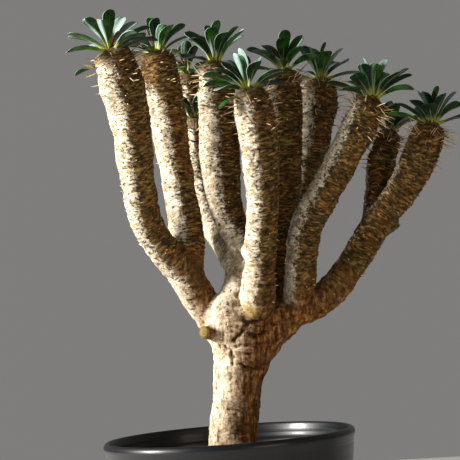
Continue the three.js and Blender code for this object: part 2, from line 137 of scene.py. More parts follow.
# %% A finish
class Finish:
    """One material and the graph that gives it its colour, gloss and relief."""

    def __init__(self, name):
        self.material = bpy.data.materials.new(name)
        self.material.use_nodes = True
        self.tree = self.material.node_tree
        self.tree.nodes.clear()

    def node(self, kind, settings=None, values=None, out=0):
        """Adds a node: its settings first, then the values or wires of its sockets."""
        made = self.tree.nodes.new(kind)
        for key, value in (settings or {}).items():
            if key == "stops":
                while len(made.color_ramp.elements) < len(value):
                    made.color_ramp.elements.new(0.5)
                for element, (place, *shade) in zip(made.color_ramp.elements, value):
                    element.position, element.color = place, paint(*shade)
            else:
                setattr(made, key, value)
        for key, value in (values or {}).items():
            if isinstance(value, Wire):
                self.tree.links.new(value.socket, made.inputs[key])
            else:
                made.inputs[key].default_value = value
        return Wire(self, made.outputs[out]) if made.outputs else None

    def ramp(self, value, *stops):
        """A colour for each value from 0 to 1. A stop is its place and its red, green and blue."""
        return self.node("ShaderNodeValToRGB", {"stops": stops}, {"Fac": value})

    def blend(self, share, *colours):
        """The first colour where share is 0 and the second where it is 1."""
        first, second = (colour if isinstance(colour, Wire) else paint(*colour) for colour in colours)
        return self.node("ShaderNodeMix", {"data_type": "RGBA"}, {"Factor": share, 6: first, 7: second}, out=2)

    def layers(self, colour, *layers):
        """A colour with others laid over it, each as a share and a colour."""
        for share, shade in layers:
            colour = self.blend(share, colour, shade)
        return colour

    def place(self):
        """Where a point lies in the part's own frame, in metres."""
        return self.node("ShaderNodeTexCoord", out="Object")

    def carried(self, name, out="Fac"):
        """A value or a vector that the mesh carries at each of its points."""
        return self.node("ShaderNodeAttribute", {"attribute_name": name}, out=out)

    def vector(self, operation, first, second=(0, 0, 0), out=0):
        """Maths with all three parts of a vector."""
        return self.node("ShaderNodeVectorMath", {"operation": operation}, {0: first, 1: second}, out)

    def noise(self, vector, scale, detail=3.0, roughness=0.55):
        """Cloudy noise of about 0 to 1. A scale of three parts stretches it."""
        if isinstance(scale, tuple):
            vector, scale = self.vector("MULTIPLY", vector, scale), 1.0
        values = {"Vector": vector, "Scale": scale, "Detail": detail, "Roughness": roughness}
        return self.node("ShaderNodeTexNoise", None, values)

    def bump(self, height, depth, **under):
        """A normal that tips with a height, with another one under it if wanted. The depth is in metres."""
        values = {"Height": height, "Strength": 1.0, "Distance": depth, **under}
        return self.node("ShaderNodeBump", None, values)

    def finished(self, **values):
        """Ends the graph in one shader, with what the values say on its sockets."""
        names = {key.replace("_", " "): value for key, value in values.items()}
        shader = self.node("ShaderNodeBsdfPrincipled", None, names)
        self.node("ShaderNodeOutputMaterial", None, {"Surface": shader})
        return self.material


print("what a finish can do:", [name for name in vars(Finish) if name[0] != "_"])

# %% [markdown]
# ## Studio
#
# The floor is plain and pale. A flat floor would cross the picture as a line behind the plant, because
# the camera is low. So it falls away gently outside a wide flat middle, which keeps it below the frame
# and leaves one even tone behind the leaves. The real plant stood in low sunlight from its left, which
# lights one side of each branch and leaves the rest in warm shade. A lamp on that side, a little in
# front of the plant and above it, gives the same modelling with softer edges. A weak warm lamp opens
# the shade, and a pale world fills the rest.

# %% Floor
FLOOR = {"flat": 1.3, "radius": 7.0, "slope": 0.1, "rings": 60, "sides": 96}


def once_round(sides):
    """Even angles, once round."""
    return np.linspace(0, 2 * np.pi, sides, endpoint=False)


def add_floor():
    """A round floor, flat in the middle and falling away outside."""
    radii = np.linspace(0, 1, FLOOR["rings"] + 1)[1:] ** 1.5 * FLOOR["radius"]
    turns = once_round(FLOOR["sides"])
    drop = np.maximum(0, radii - FLOOR["flat"]) * FLOOR["slope"]
    ring = np.stack([np.cos(turns), np.sin(turns)], axis=1)
    points = [(0, 0, 0)] + [(x * r, y * r, -d) for r, d in zip(radii, drop) for x, y in ring]
    sides = FLOOR["sides"]
    faces = [(0, 1 + i, 1 + (i + 1) % sides) for i in range(sides)]
    for start in range(1, len(points) - sides, sides):
        faces += [(start + i, start + sides + i, start + sides + (i + 1) % sides, start + (i + 1) % sides)
                  for i in range(sides)]
    mesh = bpy.data.meshes.new("studio_floor")
    mesh.from_pydata(points, [], faces)
    mesh.shade_smooth()
    floor = bpy.data.objects.new("studio_floor", mesh)
    bpy.context.scene.collection.objects.link(floor)
    finish = Finish("pale_floor")
    clouds = finish.noise(finish.place(), 3.0)
    tone = finish.blend(clouds, (214, 213, 210), (224, 223, 220))
    mesh.materials.append(finish.finished(Base_Color=tone, Roughness=0.8))


add_floor()
print("the floor falls by metres:", round((FLOOR["radius"] - FLOOR["flat"]) * FLOOR["slope"], 2))

# %% Lamps and world
LAMPS = {
    "key_lamp": {"place": (-1.66, -0.38, 0.84), "size": 0.60, "power": 102.0, "colour": (1.0, 0.965, 0.92)},
    "fill_lamp": {"place": (1.1, -1.5, 0.55), "size": 1.0, "power": 6.0, "colour": (1.0, 0.86, 0.66)},
}
AIM = (0.03, 0.0, 0.27)
WORLD = {"Color": (1.0, 0.98, 0.95, 1.0), "Strength": 0.21}


def add_lamp(name, place, size, power, colour):
    data = bpy.data.lights.new(name, "AREA")
    data.shape, data.size, data.energy, data.color = "DISK", size, power, colour
    lamp = bpy.data.objects.new(name, data)
    lamp.location = place
    lamp.rotation_euler = (Vector(place) - Vector(AIM)).to_track_quat("Z", "Y").to_euler()
    bpy.context.scene.collection.objects.link(lamp)


for name, lamp in LAMPS.items():
    add_lamp(name, **lamp)
world = bpy.data.worlds.new("pale_studio")
world.use_nodes = True
for socket, value in WORLD.items():
    world.node_tree.nodes["Background"].inputs[socket].default_value = value
bpy.context.scene.world = world
bpy.context.scene.view_settings.view_transform = "Standard"
print("lamps:", [o.name for o in bpy.context.scene.objects if o.type == "LIGHT"])

# %% [markdown]
# ## Meshes from numbers
#
# Each piece of this plant is a skin over rings of points: a branch, a leaf, a thorn, the pot's wall.
# So one function skins rings. Another puts many skins into one mesh object, and hangs on it what each
# point carries for the shaders. The last gives a piece its material and hides the packed model's solids
# that it is drawn in place of. Building from numbers keeps the whole plant repeatable, where sculpting
# by hand would not.

# %% Skins
def skin_over(rings, **carried):
    """A closed skin over rings, an array of rings x sides x 3, with the values its points carry."""
    index = np.arange(rings.shape[0] * rings.shape[1]).reshape(rings.shape[:2])
    beside = np.roll(index, -1, axis=1)
    walls = np.stack([index[:-1], beside[:-1], beside[1:], index[1:]], axis=-1).reshape(-1, 4)
    faces = [*walls.tolist(), index[0, ::-1].tolist(), index[-1].tolist()]
    values = {key: np.broadcast_to(value, (*rings.shape[:2], *np.shape(value)[2:])).reshape(
        index.size, *np.shape(value)[2:]) for key, value in carried.items()}
    return SimpleNamespace(points=rings.reshape(-1, 3), faces=faces, values=values)


print("faces of a skin of 3 rings of 8:", len(skin_over(np.zeros((3, 8, 3))).faces))

# %% Mesh objects
def add_object(mesh):
    made = bpy.data.objects.new(mesh.name, mesh)
    bpy.context.scene.collection.objects.link(made)
    return made


def add_mesh(name, skins):
    """Puts skins into one mesh object, with what their points carry."""
    offsets = np.cumsum([0, *(len(skin.points) for skin in skins)])
    points = np.concatenate([skin.points for skin in skins]) * MM
    faces = [[corner + offset for corner in face] for skin, offset in zip(skins, offsets.tolist())
             for face in skin.faces]
    mesh = bpy.data.meshes.new(name)
    mesh.from_pydata(points.tolist(), [], faces)
    for key in skins[0].values:
        value = np.concatenate([skin.values[key] for skin in skins]).astype(np.float32)
        kind, field = ("FLOAT", "value") if value.ndim == 1 else ("FLOAT_VECTOR", "vector")
        mesh.attributes.new(key, kind, "POINT").data.foreach_set(field, value.ravel())
    mesh.shade_smooth()
    return add_object(mesh)


def join_solids(name, parts, operation="UNION"):
    """One closed mesh from several mesh objects, with no walls left inside it."""
    body, *others = parts
    for other in others:
        change = body.modifiers.new(other.name, "BOOLEAN")
        change.operation, change.solver, change.object = operation, "MANIFOLD", other
    mesh = bpy.data.meshes.new_from_object(body.evaluated_get(bpy.context.evaluated_depsgraph_get()))
    mesh.name = name
    mesh.materials.clear()
    for part in parts:
        bpy.data.objects.remove(part)
    return add_object(mesh)


def place_piece(piece, slot, material, *nodes):
    """Gives a piece its material, lets it ride on the plant's one body, and hides the nodes of the packed model
    that it is drawn in place of.
    """
    piece.data.materials.clear()
    piece.data.materials.append(material)
    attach(piece, "root")
    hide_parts(*nodes)
    print(f"{piece.name}: {sum(len(face.vertices) - 2 for face in piece.data.polygons)} triangles")


print("nodes to stand for:", len(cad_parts))

# %% [markdown]
# ## Noise for shapes
#
# Bark, soil and leaves need unevenness that has a size and never jumps. Plain random numbers jump.
# Values drawn at the corners of a grid and eased between them don't, and a grid that is stretched one
# way gives marks that are long that way. The same numbers come out on each run, because each corner's
# value is worked out from its own place.

# %% Smooth noise
HASH = {"corner": np.array([73856093, 19349663, 83492791]), "seed": 40503, "stir": 1274126177}


def smooth_noise(points, size, seed):
    """Values from -1 to 1 at points, an array of ... x 3, that change over about one size."""
    scaled = points / np.asarray(size, float)
    cell = np.floor(scaled).astype(np.int64)
    part = scaled - cell
    ease = part * part * (3 - 2 * part)
    total = np.zeros(points.shape[:-1])
    for corner in product((0, 1), repeat=3):
        key = ((cell + corner) @ HASH["corner"] + seed * HASH["seed"]) & 0xFFFFFFFF
        key = ((key ^ (key >> 13)) * HASH["stir"]) & 0xFFFFFFFF
        value = ((key ^ (key >> 16)) & 0xFFFFFF) / 0x7FFFFF - 1
        total += value * np.prod(np.where(corner, ease, 1 - ease), axis=-1)
    return total


def step_between(value, low, high):
    """0 below low, 1 above high and a smooth step between, for arrays."""
    share = np.clip((value - low) / (high - low), 0, 1)
    return share * share * (3 - 2 * share)


sample = smooth_noise(np.random.default_rng(1).uniform(0, 90, (2000, 3)), 7, 3)
print("noise runs from", round(sample.min(), 2), "to", round(sample.max(), 2))

# %% [markdown]
# ## The wood's middle lines
#
# The trunk and each branch follow a list of stations: a place and a radius, from the root of the
# branch inside the wood that carries it to its tip. A curve through them is drawn in the centripetal
# way, which never loops or overshoots between uneven stations, and is the curve that the solid
# follows. It is then cut into even steps, and a pair of directions is carried along it without
# twisting, so that rings on it line up.

# %% Stations of the trunk and branches
TRUNK = [(1, 0, 88, 13), (1, 0, 108, 16), (1, 0, 128, 17.6), (2, 0, 142, 17.2), (6, 0, 167, 17.1),
         (10, 0, 191, 17.8), (14, 1, 207, 19.6), (16, 2, 219, 17), (17, 4, 230, 9)]
# A second, shallower stretch that swells the front of the trunk into its fork.
TRUNK_SPREAD = [(12, -1, 200, 13), (15, -4, 212, 14.5), (16.5, -6.5, 224, 13.5), (17.5, -7, 236, 11),
                (18, -5, 246, 8.5)]
STEMS = {
    "left_outer": [
        (13, 9, 205, 12), (6, 11, 216, 12.4), (-1, 9, 226, 12.2), (-9, 4, 239, 11.6), (-17, -2, 254, 12),
        (-24, -7, 268, 12), (-34, -13, 281, 11.4), (-43, -18, 295, 11.1), (-49, -24, 315, 11.8),
        (-51, -30, 342, 12.3), (-52.4, -36, 377, 14.4), (-57, -40, 405, 15.8), (-61.8, -42, 423, 13.6)],
    "left_inner": [
        (-18, -8, 254, 8), (-20, -4, 268, 10.8), (-19, 2, 287, 12.1), (-22, 10, 319, 12),
        (-25, 16, 350, 12.2), (-28, 22, 386, 13.5), (-31, 24, 406, 14.6), (-32, 25, 424, 12.3)],
    "centre_left": [
        (30, -12, 256, 8), (29, -8, 267, 9.4), (26, -3, 277, 9.8), (19.5, 2, 287, 10.2), (14, 6, 297, 11),
        (9.5, 8, 312, 12), (8, 8, 326, 13.2), (8, 8, 345, 14.6), (9, 6, 370, 14.7), (9, 4, 394, 13.5),
        (9, 3, 412, 11)],
    "centre_front": [
        (22, 2, 226, 9), (25, -6, 234, 10.4), (27.5, -13, 242, 12.4), (28.5, -19, 250, 12.8),
        (29.5, -23, 259, 11.7), (31, -26, 269, 10.4), (32, -29, 281, 11.2), (35, -34, 306, 11.2),
        (36, -38, 328, 11.9), (36, -43, 357, 13.3), (34, -46, 376, 14.2), (31.5, -47, 388.5, 11.5)],
    "centre_right": [
        (27, 6, 222, 8), (37, 14, 240, 10.8), (43, 20, 262, 11), (47, 24, 285, 12), (50, 28, 310, 12.9),
        (53, 30, 336, 13.5), (56, 32, 368, 13.8), (58, 34, 390, 13.1), (59, 34, 405, 11)],
    "back_right": [
        (38, 14, 234, 7), (47, 24, 250, 9.6), (55, 38, 274, 10.2), (64, 50, 304, 10.4),
        (72, 58, 335, 11.4), (80, 62, 364, 12.5), (85, 64, 384, 13.3), (86, 65, 398, 11)],
    "right_front": [
        (54, 8, 230, 7), (56, 1, 244, 10.4), (59, -7, 259, 11.6), (60.5, -11, 272, 11.5), (67, -18, 297, 11),
        (78, -22, 314, 11.7), (96, -28, 343, 11.9), (107, -32, 361, 12.7), (116, -34, 377, 11)],
    "right_outer": [
        (17, 1, 206, 14), (27, 3, 216, 15), (39, 4, 225, 14), (52, 6, 233, 11.8), (62.5, 7, 235.5, 11),
        (73, 8, 240.5, 10.6), (84.5, 12, 249.5, 10.6), (98.5, 16, 265.5, 10.9), (110, 19, 281, 11.3),
        (119, 19, 294, 11), (129, 16, 306, 11.2), (140, 10, 319, 12.2), (149, 4, 335, 12.9),
        (156, 0, 349, 12.4), (159.5, -1, 357, 10.8)],
    "right_short": [
        (111, 20, 284, 6), (117, 27, 301, 9), (121, 34, 316, 9.4), (126, 42, 338, 10.3),
        (132, 46, 355, 9)],
    "back_short": [
        (13, 4, 204, 13), (7, -2, 217, 14.2), (4.5, -5, 228, 14.4), (7, -6, 238, 13.2), (12, -4, 247, 11.3),
        (14.5, 0, 257, 10), (14.5, 6, 267, 9.5), (11, 15, 276, 9.1), (6, 25, 286, 9), (0, 36, 297, 8.9),
        (-4, 45, 309, 8.7), (-7, 54, 325, 8.6), (-9, 61, 345, 8.6), (-9, 64, 363, 8.5), (-9, 65, 375, 8)],
    "back_tall": [
        (4, 28, 287, 6), (1, 43, 297, 8.2), (-3, 59, 311, 8.7), (-7, 78, 341, 8.9), (-10, 88, 375, 9.7),
        (-11, 92, 398, 9.8), (-12, 93, 411, 8.6)],
}
STUBS = {
    "sawn_stub": [(0, -5, 222, 6), (-8, -12.5, 223.5, 4.9), (-12.5, -17, 224.3, 4.5)],
    "pruned_stub": [(119, 20, 287, 5), (129, 19, 289, 3.2), (132.5, 18.5, 291.5, 2.8)],
}
print("stretches of wood:", 2 + len(STEMS) + len(STUBS))

# %% Lines through the stations
SKIN = {"sides": 36, "spacing": 0.56, "stub_sides": 30, "span_steps": 40, "radius_ease": 7.0}


def through(stations):
    """Close points on a centripetal curve through stations, each with its radius."""
    places = np.array(stations, float)
    ends = np.vstack([2 * places[0] - places[1], places, 2 * places[-1] - places[-2]])[:, :3]
    share = np.linspace(0, 1, SKIN["span_steps"], endpoint=False)[:, None]
    spans = []
    for i in range(len(places) - 1):
        before, start, end, after = ends[i:i + 4]
        g0, g1, g2 = (math.sqrt(math.dist(a, b)) for a, b in ((before, start), (start, end), (end, after)))
        out = ((start - before) / g0 - (end - before) / (g0 + g1) + (end - start) / g1) * g1
        back = ((end - start) / g1 - (after - start) / (g1 + g2) + (after - end) / g2) * g1
        cubic = (2 * start - 2 * end + out + back, 3 * end - 3 * start - 2 * out - back, out, start)
        line = ((cubic[0] * share + cubic[1]) * share + cubic[2]) * share + cubic[3]
        radii = places[i, 3] + (places[i + 1, 3] - places[i, 3]) * share
        spans.append(np.hstack([line, radii]))
    return np.vstack([*spans, places[-1:]])


print("points on the trunk's line:", len(through(TRUNK)))

# %% [markdown]
# ## Even steps and rounded tips
#
# A branch ends a little past the seat of its leaves, in a low dome. A flat end would show between the
# leaves as a cut, and the dome is hidden by their feet all round.

# %% Even steps along a line
TIP = {"rise": 3.4, "top": 4.0, "shoulder": 5.4, "square": 2.3}


def unit(vector):
    """A vector with its length made 1."""
    return vector / np.linalg.norm(vector)


def middle_line(name, stations, tip=False):
    """A stretch of wood in even steps: centres, radii, how far along, and the directions across."""
    fine = through(stations)
    heading = unit(fine[-1, :3] - fine[-3, :3])
    seat, seat_run = fine[-1, :3], np.linalg.norm(np.diff(fine[:, :3], axis=0), axis=1).sum()
    if tip:
        fine = np.vstack([fine, [*(seat + heading * TIP["rise"]), fine[-1, 3]]])
    run = np.concatenate([[0], np.cumsum(np.linalg.norm(np.diff(fine[:, :3], axis=0), axis=1))])
    length = run[-1]
    steps = max(4, round(length / SKIN["spacing"]))
    places = np.linspace(0, length, steps + 1)
    centres = np.stack([np.interp(places, run, part) for part in fine.T[:3]], axis=1)
    window = max(1, round(SKIN["radius_ease"] / SKIN["spacing"])) | 1
    padded = np.pad(np.interp(places, run, fine[:, 3]), window // 2, mode="edge")
    radii = np.convolve(padded, np.ones(window) / window, mode="valid")
    if tip:
        into = np.clip((places - (length - TIP["shoulder"])) / TIP["shoulder"], 0, 1)
        radii = TIP["top"] + (radii - TIP["top"]) * (1 - into ** TIP["square"]) ** (1 / TIP["square"])
    along = np.gradient(centres, axis=0)
    along /= np.linalg.norm(along, axis=1, keepdims=True)
    across, carried = [], np.array([1.0, 0, 0])
    for direction in along:
        carried = unit(carried - direction * carried.dot(direction))
        across.append(carried)
    across = np.array(across)
    return SimpleNamespace(name=name, centres=centres, radii=radii, places=places, length=length, tip=tip,
                           along=along, across=across, side=np.cross(along, across), seat=seat,
                           seat_run=seat_run, heading=heading)


trunk = middle_line("trunk", TRUNK)
spread = middle_line("trunk_spread", TRUNK_SPREAD)
stems = {name: middle_line(name, stations, tip=True) for name, stations in STEMS.items()}
stubs = {name: middle_line(name, stations) for name, stations in STUBS.items()}
wood = [trunk, spread, *stems.values(), *stubs.values()]
print("branch lengths in mm:", {name: round(stem.length) for name, stem in stems.items()})

# %% [markdown]
# ## Where branches grow together
#
# Two tubes pushed into each other meet in a hard line. Living wood swells into the fork instead. The
# whole tree could be remeshed from small cubes and smoothed, but that needs the same fine grid in
# every direction, and bark with rings needs it only along the branch. So each tube keeps its own
# rings, and its skin is moved out to where a soft union of the nearest two stretches lies. Past the
# seam it dips below its neighbour's skin, and the tubes are then joined as solids, which cuts away
# what is inside.

# %% Distances to the wood
FORK = {"soft": 11.0, "crotch": 4.5, "reach": 13.0, "most": 7.0, "passes": 8, "sink": 0.45, "tuck": 1.6,
        "coarse": 2.0, "batch": 4000, "far": 99.0, "heal": 2.2}


def distance_to(points, line):
    """How far points lie outside a stretch's skin, below 0 where they are inside."""
    stride = max(1, round(FORK["coarse"] / (line.places[1] - line.places[0])))
    centres, radii = line.centres[::stride], line.radii[::stride]
    return np.concatenate([
        (np.linalg.norm(part[:, None] - centres[None], axis=2) - radii).min(axis=1)
        for part in np.array_split(points, max(1, len(points) // FORK["batch"]))])


def rays_round(across, side, turns):
    """Directions at angles from one direction towards another."""
    return across * np.cos(turns)[:, None] + side * np.sin(turns)[:, None]


def rays_of(line, sides):
    """Directions out of a stretch's middle line, for each ring and side, and their angles."""
    turns = np.arange(sides) / sides * 2 * np.pi
    return rays_round(line.across[:, None], line.side[:, None], turns), turns


gap = distance_to(stems["left_inner"].centres[:1], trunk)[0]
print("left_inner starts outside the trunk by mm:", round(gap, 1))

# %% Skins that swell into a fork
def fused_radii(line, rays):
    """The radius at each ring and side once the skin swells into its neighbours, how far each point
    is from a seam between two branches, and how near to any seam, as 0 to 1."""
    radii = np.repeat(line.radii[:, None], rays.shape[1], axis=1)
    seam, fork = np.full(radii.shape, FORK["far"]), np.zeros(radii.shape)
    gaps = {other.name: distance_to(line.centres, other) - line.radii
            for other in wood if other is not line}
    near = [other for other in wood if other is not line and gaps[other.name].min() < FORK["reach"]]
    if not near:
        return radii, seam, fork
    rings = np.min([gaps[other.name] for other in near], axis=0) < FORK["reach"]
    centres, directions = line.centres[rings][:, None], rays[rings]
    least = radii[rings]
    grown = least.copy()
    soft = np.array([[FORK["soft" if {"trunk", "trunk_spread"} & {line.name, other.name} else "crotch"]]
                     for other in near])
    for _ in range(FORK["passes"]):
        points = (centres + directions * grown[..., None]).reshape(-1, 3)
        own = distance_to(points, line)
        rest = np.stack([distance_to(points, other) for other in near])
        overlap = np.maximum(0, soft - np.abs(own - rest))
        joined = (np.minimum(own, rest) - overlap**2 / (4 * soft)).min(axis=0)
        grown = np.clip(grown - joined.reshape(grown.shape), least, least + FORK["most"])
    past = (own - rest.min(axis=0)).reshape(grown.shape)
    radii[rings] = np.maximum(least - FORK["tuck"], grown - FORK["sink"] * np.maximum(0, past))
    fork[rings] = np.exp(-((past / FORK["heal"]) ** 2))
    branches = [distance_to(points, other) for other in near if other not in (trunk, spread)]
    if branches and line not in (trunk, spread):
        seam[rings] = (np.min(branches, axis=0) - own).reshape(grown.shape)
    return radii, seam, fork


test_rays, _ = rays_of(stems["left_inner"], SKIN["sides"])
test_radii, _, _ = fused_radii(stems["left_inner"], test_rays)
print("left_inner swells by up to", round((test_radii - stems["left_inner"].radii[:, None]).max(), 1), "mm")

# %% [markdown]
# ## Bark relief
#
# Each ring on a branch is the scar of an old turn of leaves. The rings are about three millimetres
# apart, uneven, broken and here and there run together, and they bow round a knot. A wave along the
# branch gives them, with noise pushing its phase about and fading it in places. The trunk is older:
# its rings have worn away, and it has long fissures instead. Both are cut into the mesh, because the
# light rakes across them and the outline shows them. The height is also kept at each point, so that
# the colour can follow it.

# %% Rings, fissures and knots
SUN = np.array([-0.92, -0.02, 0.24])
RINGS = {"pitch": 2.9, "depth": 1.0, "sway": 1.6, "sway_size": 12, "wander": 0.75,
         "wander_size": (4.5, 4.5, 4), "rise": 0.62, "fall": 0.66, "sun_wear": 0.75, "worn": (-0.1, 0.5)}
# How clear the rings are on each branch. Where nothing is said, they are whole.
WORN_RINGS = {"left_outer": 0.45, "left_inner": 0.5, "centre_left": 0.7, "centre_front": 0.5,
              "right_front": 0.85}
BREAKS = {"size": (3.4, 3.4, 2.2), "from": -0.42, "to": 0.3, "least": 0.12}
LUMPS = {"large": 0.8, "large_size": 13, "small": 0.45, "small_size": (4, 4, 3)}
GRAIN = {"depth": 0.38, "size": (2.2, 2.2, 1.5)}
FISSURES = {"depth": 1.5, "size": (4.0, 4.0, 20), "warp": 1.6, "width": 0.085, "lumps": 0.55,
            "lump_size": (3.4, 3.4, 15)}
# Knots, as the place of the middle on the skin, the radius and the height.
KNOTS = [((48, 18, 360), 5.0, 1.5), ((73, 46, 348), 4.4, 1.8), ((70, 43, 336), 4.6, 1.9),
         ((-71, -36, 397), 3.4, 1.5), ((20, -27, 279), 6.5, 2.4), ((-26, 10, 377), 4.0, 1.0),
         ((120, 6, 290), 4.2, 1.3), ((62, -1, 224), 5.0, 1.0), ((-14, -14, 262), 4.4, 0.6),
         ((47, 38, 306), 4.6, 1.4), ((0, 74, 326), 3.6, 1.2), ((-35, 5, 300), 4.4, 1.3)]
KNOT_BOW = {"turns": 1.5, "spread": 2.1}


def knots_at(points):
    """How high the knots stand at points, and by how many turns they bow the rings."""
    high, bow = np.zeros(points.shape[:-1]), np.zeros(points.shape[:-1])
    for place, radius, height in KNOTS:
        away = np.linalg.norm(points - np.array(place, float), axis=-1) / radius
        high += height * np.clip(1 - away**2, 0, 1) ** 1.5
        bow += KNOT_BOW["turns"] * np.exp(-((away / KNOT_BOW["spread"]) ** 2))
    return high, bow


def rings_at(straight, bow):
    """The height of the rings, from 0 to 1, on a straightened branch."""
    phase = (straight[..., 2] / RINGS["pitch"] - bow
             + RINGS["sway"] * smooth_noise(straight, RINGS["sway_size"], 11)
             + RINGS["wander"] * smooth_noise(straight, RINGS["wander_size"], 12)) % 1.0
    ring = np.where(phase < RINGS["rise"], step_between(phase, 0, RINGS["rise"]),
                    1 - step_between(phase, RINGS["fall"], 1))
    held = step_between(smooth_noise(straight, BREAKS["size"], 13), BREAKS["from"], BREAKS["to"])
    return ring * (BREAKS["least"] + (1 - BREAKS["least"]) * held)


def fissures_at(points):
    """The depth of the fissures at points, from 0 to 1."""
    swayed = points + FISSURES["warp"] * smooth_noise(points, (4, 4, 7), 20)[..., None]
    crack = 1 - step_between(np.abs(smooth_noise(swayed, FISSURES["size"], 14)), 0, FISSURES["width"])
    return crack * step_between(smooth_noise(points, (9, 9, 16), 15), -0.2, 0.3)


print("ring spacing", RINGS["pitch"], "mm, depth", RINGS["depth"], "mm, knots:", len(KNOTS))

# %% Relief of the bark
# How far apart the straightened branches are laid, so that no two carry the same marks.
STRAIGHT_APART = 400
# The trunk's bark gives way to that of the branches between two heights, with a margin that wanders.
TRUNK_FADE = {"heights": (222, 284), "wander": 9, "size": 14}
TIP_FADE = 7.0
SEAM = {"depth": 0.45, "width": 1.0, "knee": 3.5}


def bark_relief(line, number, rays, turns, radii, seam):
    """How far the skin stands out at each point, the height that its colour follows, how old the wood
    is, and the place on the straightened branch."""
    girth = line.radii[:, None]
    straight = np.stack([girth * np.cos(turns), girth * np.sin(turns),
                         line.places[:, None] + 0 * turns + STRAIGHT_APART * number], axis=-1)
    points = line.centres[:, None] + rays * radii[..., None]
    knot_height, bow = knots_at(points)
    ring, crack = rings_at(straight, bow), fissures_at(points)
    clear = WORN_RINGS.get(line.name, 1.0) * (1 - step_between(SEAM["knee"] - seam, 0, SEAM["knee"]))
    worn = clear * (1 - RINGS["sun_wear"] * step_between(rays @ SUN, *RINGS["worn"]))
    rough = smooth_noise(points, FISSURES["lump_size"], 16)
    faded = points[..., 2] + TRUNK_FADE["wander"] * smooth_noise(points, TRUNK_FADE["size"], 21)
    old = 1 - step_between(faded, *TRUNK_FADE["heights"])
    lumps = (LUMPS["large"] * smooth_noise(points, LUMPS["large_size"], 17)
             + LUMPS["small"] * smooth_noise(points, LUMPS["small_size"], 18)
             + GRAIN["depth"] * smooth_noise(points, GRAIN["size"], 19))
    out = ((1 - old) * RINGS["depth"] * (ring - 0.5) * worn
           + old * (FISSURES["lumps"] * rough - FISSURES["depth"] * crack) + lumps)
    if line.tip:
        out *= np.clip((line.length - line.places) / TIP_FADE, 0.15, 1)[:, None]
    groove = np.exp(-((seam / SEAM["width"]) ** 2))
    out = out + knot_height - SEAM["depth"] * groove
    height = (1 - old) * ring + old * (0.6 + 0.4 * rough) * (1 - crack)
    # Painted shade: the height is lowered along the seam groove between branches, so the seam is coloured
    # darker.
    return out, np.clip(height + 0.4 * knot_height, 0, 1) * (1 - 0.8 * groove), old, straight


print("bark is old below mm:", TRUNK_FADE["heights"][0], "and young above mm:", TRUNK_FADE["heights"][1])

# %% [markdown]
# ## Tubes of wood
#
# Each stretch becomes one closed tube with its relief. Its points carry what the bark's colour needs:
# the height of the relief, the age of the wood, how far it faces the sun, how near the tip it is, and
# its place on a straightened branch, where marks can run round the branch however it bends. Branches
# that stand in the shade of others get painted shade: they are made to face the sun less than their
# shape says, so their colour is darker.

# %% Tubes of wood
TIP_ZONE = 40.0
# How much painted shade a branch in the shade of others gets, all along it and again at its tip.
PAINTED_SHELTER = {"right_front": (0.26, 0.26), "right_outer": (0.8, 0.8), "right_short": (0.8, 0.8),
             "back_right": (0.2, 0.2), "centre_right": (0.3, 0.3), "back_tall": (0.1, 0.1),
             "left_inner": (0.0, 1.5), "centre_left": (0.0, 0.3)}


def facing_sun(skin):
    """How squarely a skin of rings faces the sun, from -1 to 1."""
    around = np.roll(skin, -1, axis=1) - np.roll(skin, 1, axis=1)
    out = np.cross(around, np.gradient(skin, axis=0))
    return out @ SUN / np.maximum(1e-9, np.linalg.norm(out, axis=-1))


def wood_tube(line, number):
    """One stretch of wood as a closed tube."""
    rays, turns = rays_of(line, SKIN["stub_sides"] if line.name in STUBS else SKIN["sides"])
    radii, seam, fork = fused_radii(line, rays)
    out, height, old, straight = bark_relief(line, number, rays, turns, radii, seam)
    sawn, near_tip = np.zeros(radii.shape), np.zeros(radii.shape)
    if line.tip:
        near_tip += (1 - step_between(line.length - line.places, 0, TIP_ZONE))[:, None]
    if line.name in STUBS:
        out = out * np.linspace(0.6, 0.15, len(line.places))[:, None]
        sawn[-1] = 1
    smooth = line.centres[:, None] + rays * radii[..., None]
    # Painted shade: the sun-facing value is lowered for branches in the shade of others, and more at the tip
    # where leaves above shade it.
    shade, tip_shade = PAINTED_SHELTER.get(line.name, (0, 0))
    return add_mesh("tube_" + line.name, [skin_over(
        smooth + rays * out[..., None], height=height, old=old,
        sunny=facing_sun(smooth) - shade - tip_shade * near_tip, near_tip=near_tip, sawn=sawn, fork=fork,
        known=1.0, straight=straight)])


tubes = {line.name: wood_tube(line, number) for number, line in enumerate(wood)}
print("faces in a branch:", len(tubes["left_outer"].data.polygons))

# %% [markdown]
# ## Seams between branches
#
# Joining the tubes cuts each pair along a jagged line of new points. These carry nothing yet, so they
# would show as a dark, hard seam. A remesh would hide it and lose the rings with it. Here each new
# point first takes the mean of the known points round it, and then everything near a fork is drawn
# towards the mean of its neighbours, place and colour alike.

# %% Seams filled and eased
HEAL = {"fills": 6, "passes": 14, "pull": 0.6}
EASED = ["height", "old", "sunny", "near_tip", "fork", "known"]


def taken(data, field, width=1, kind=float):
    """One field of all the elements of a mesh, as an array."""
    values = np.empty(len(data) * width, dtype=kind)
    data.foreach_get(field, values)
    return values.reshape(-1, width) if width > 1 else values


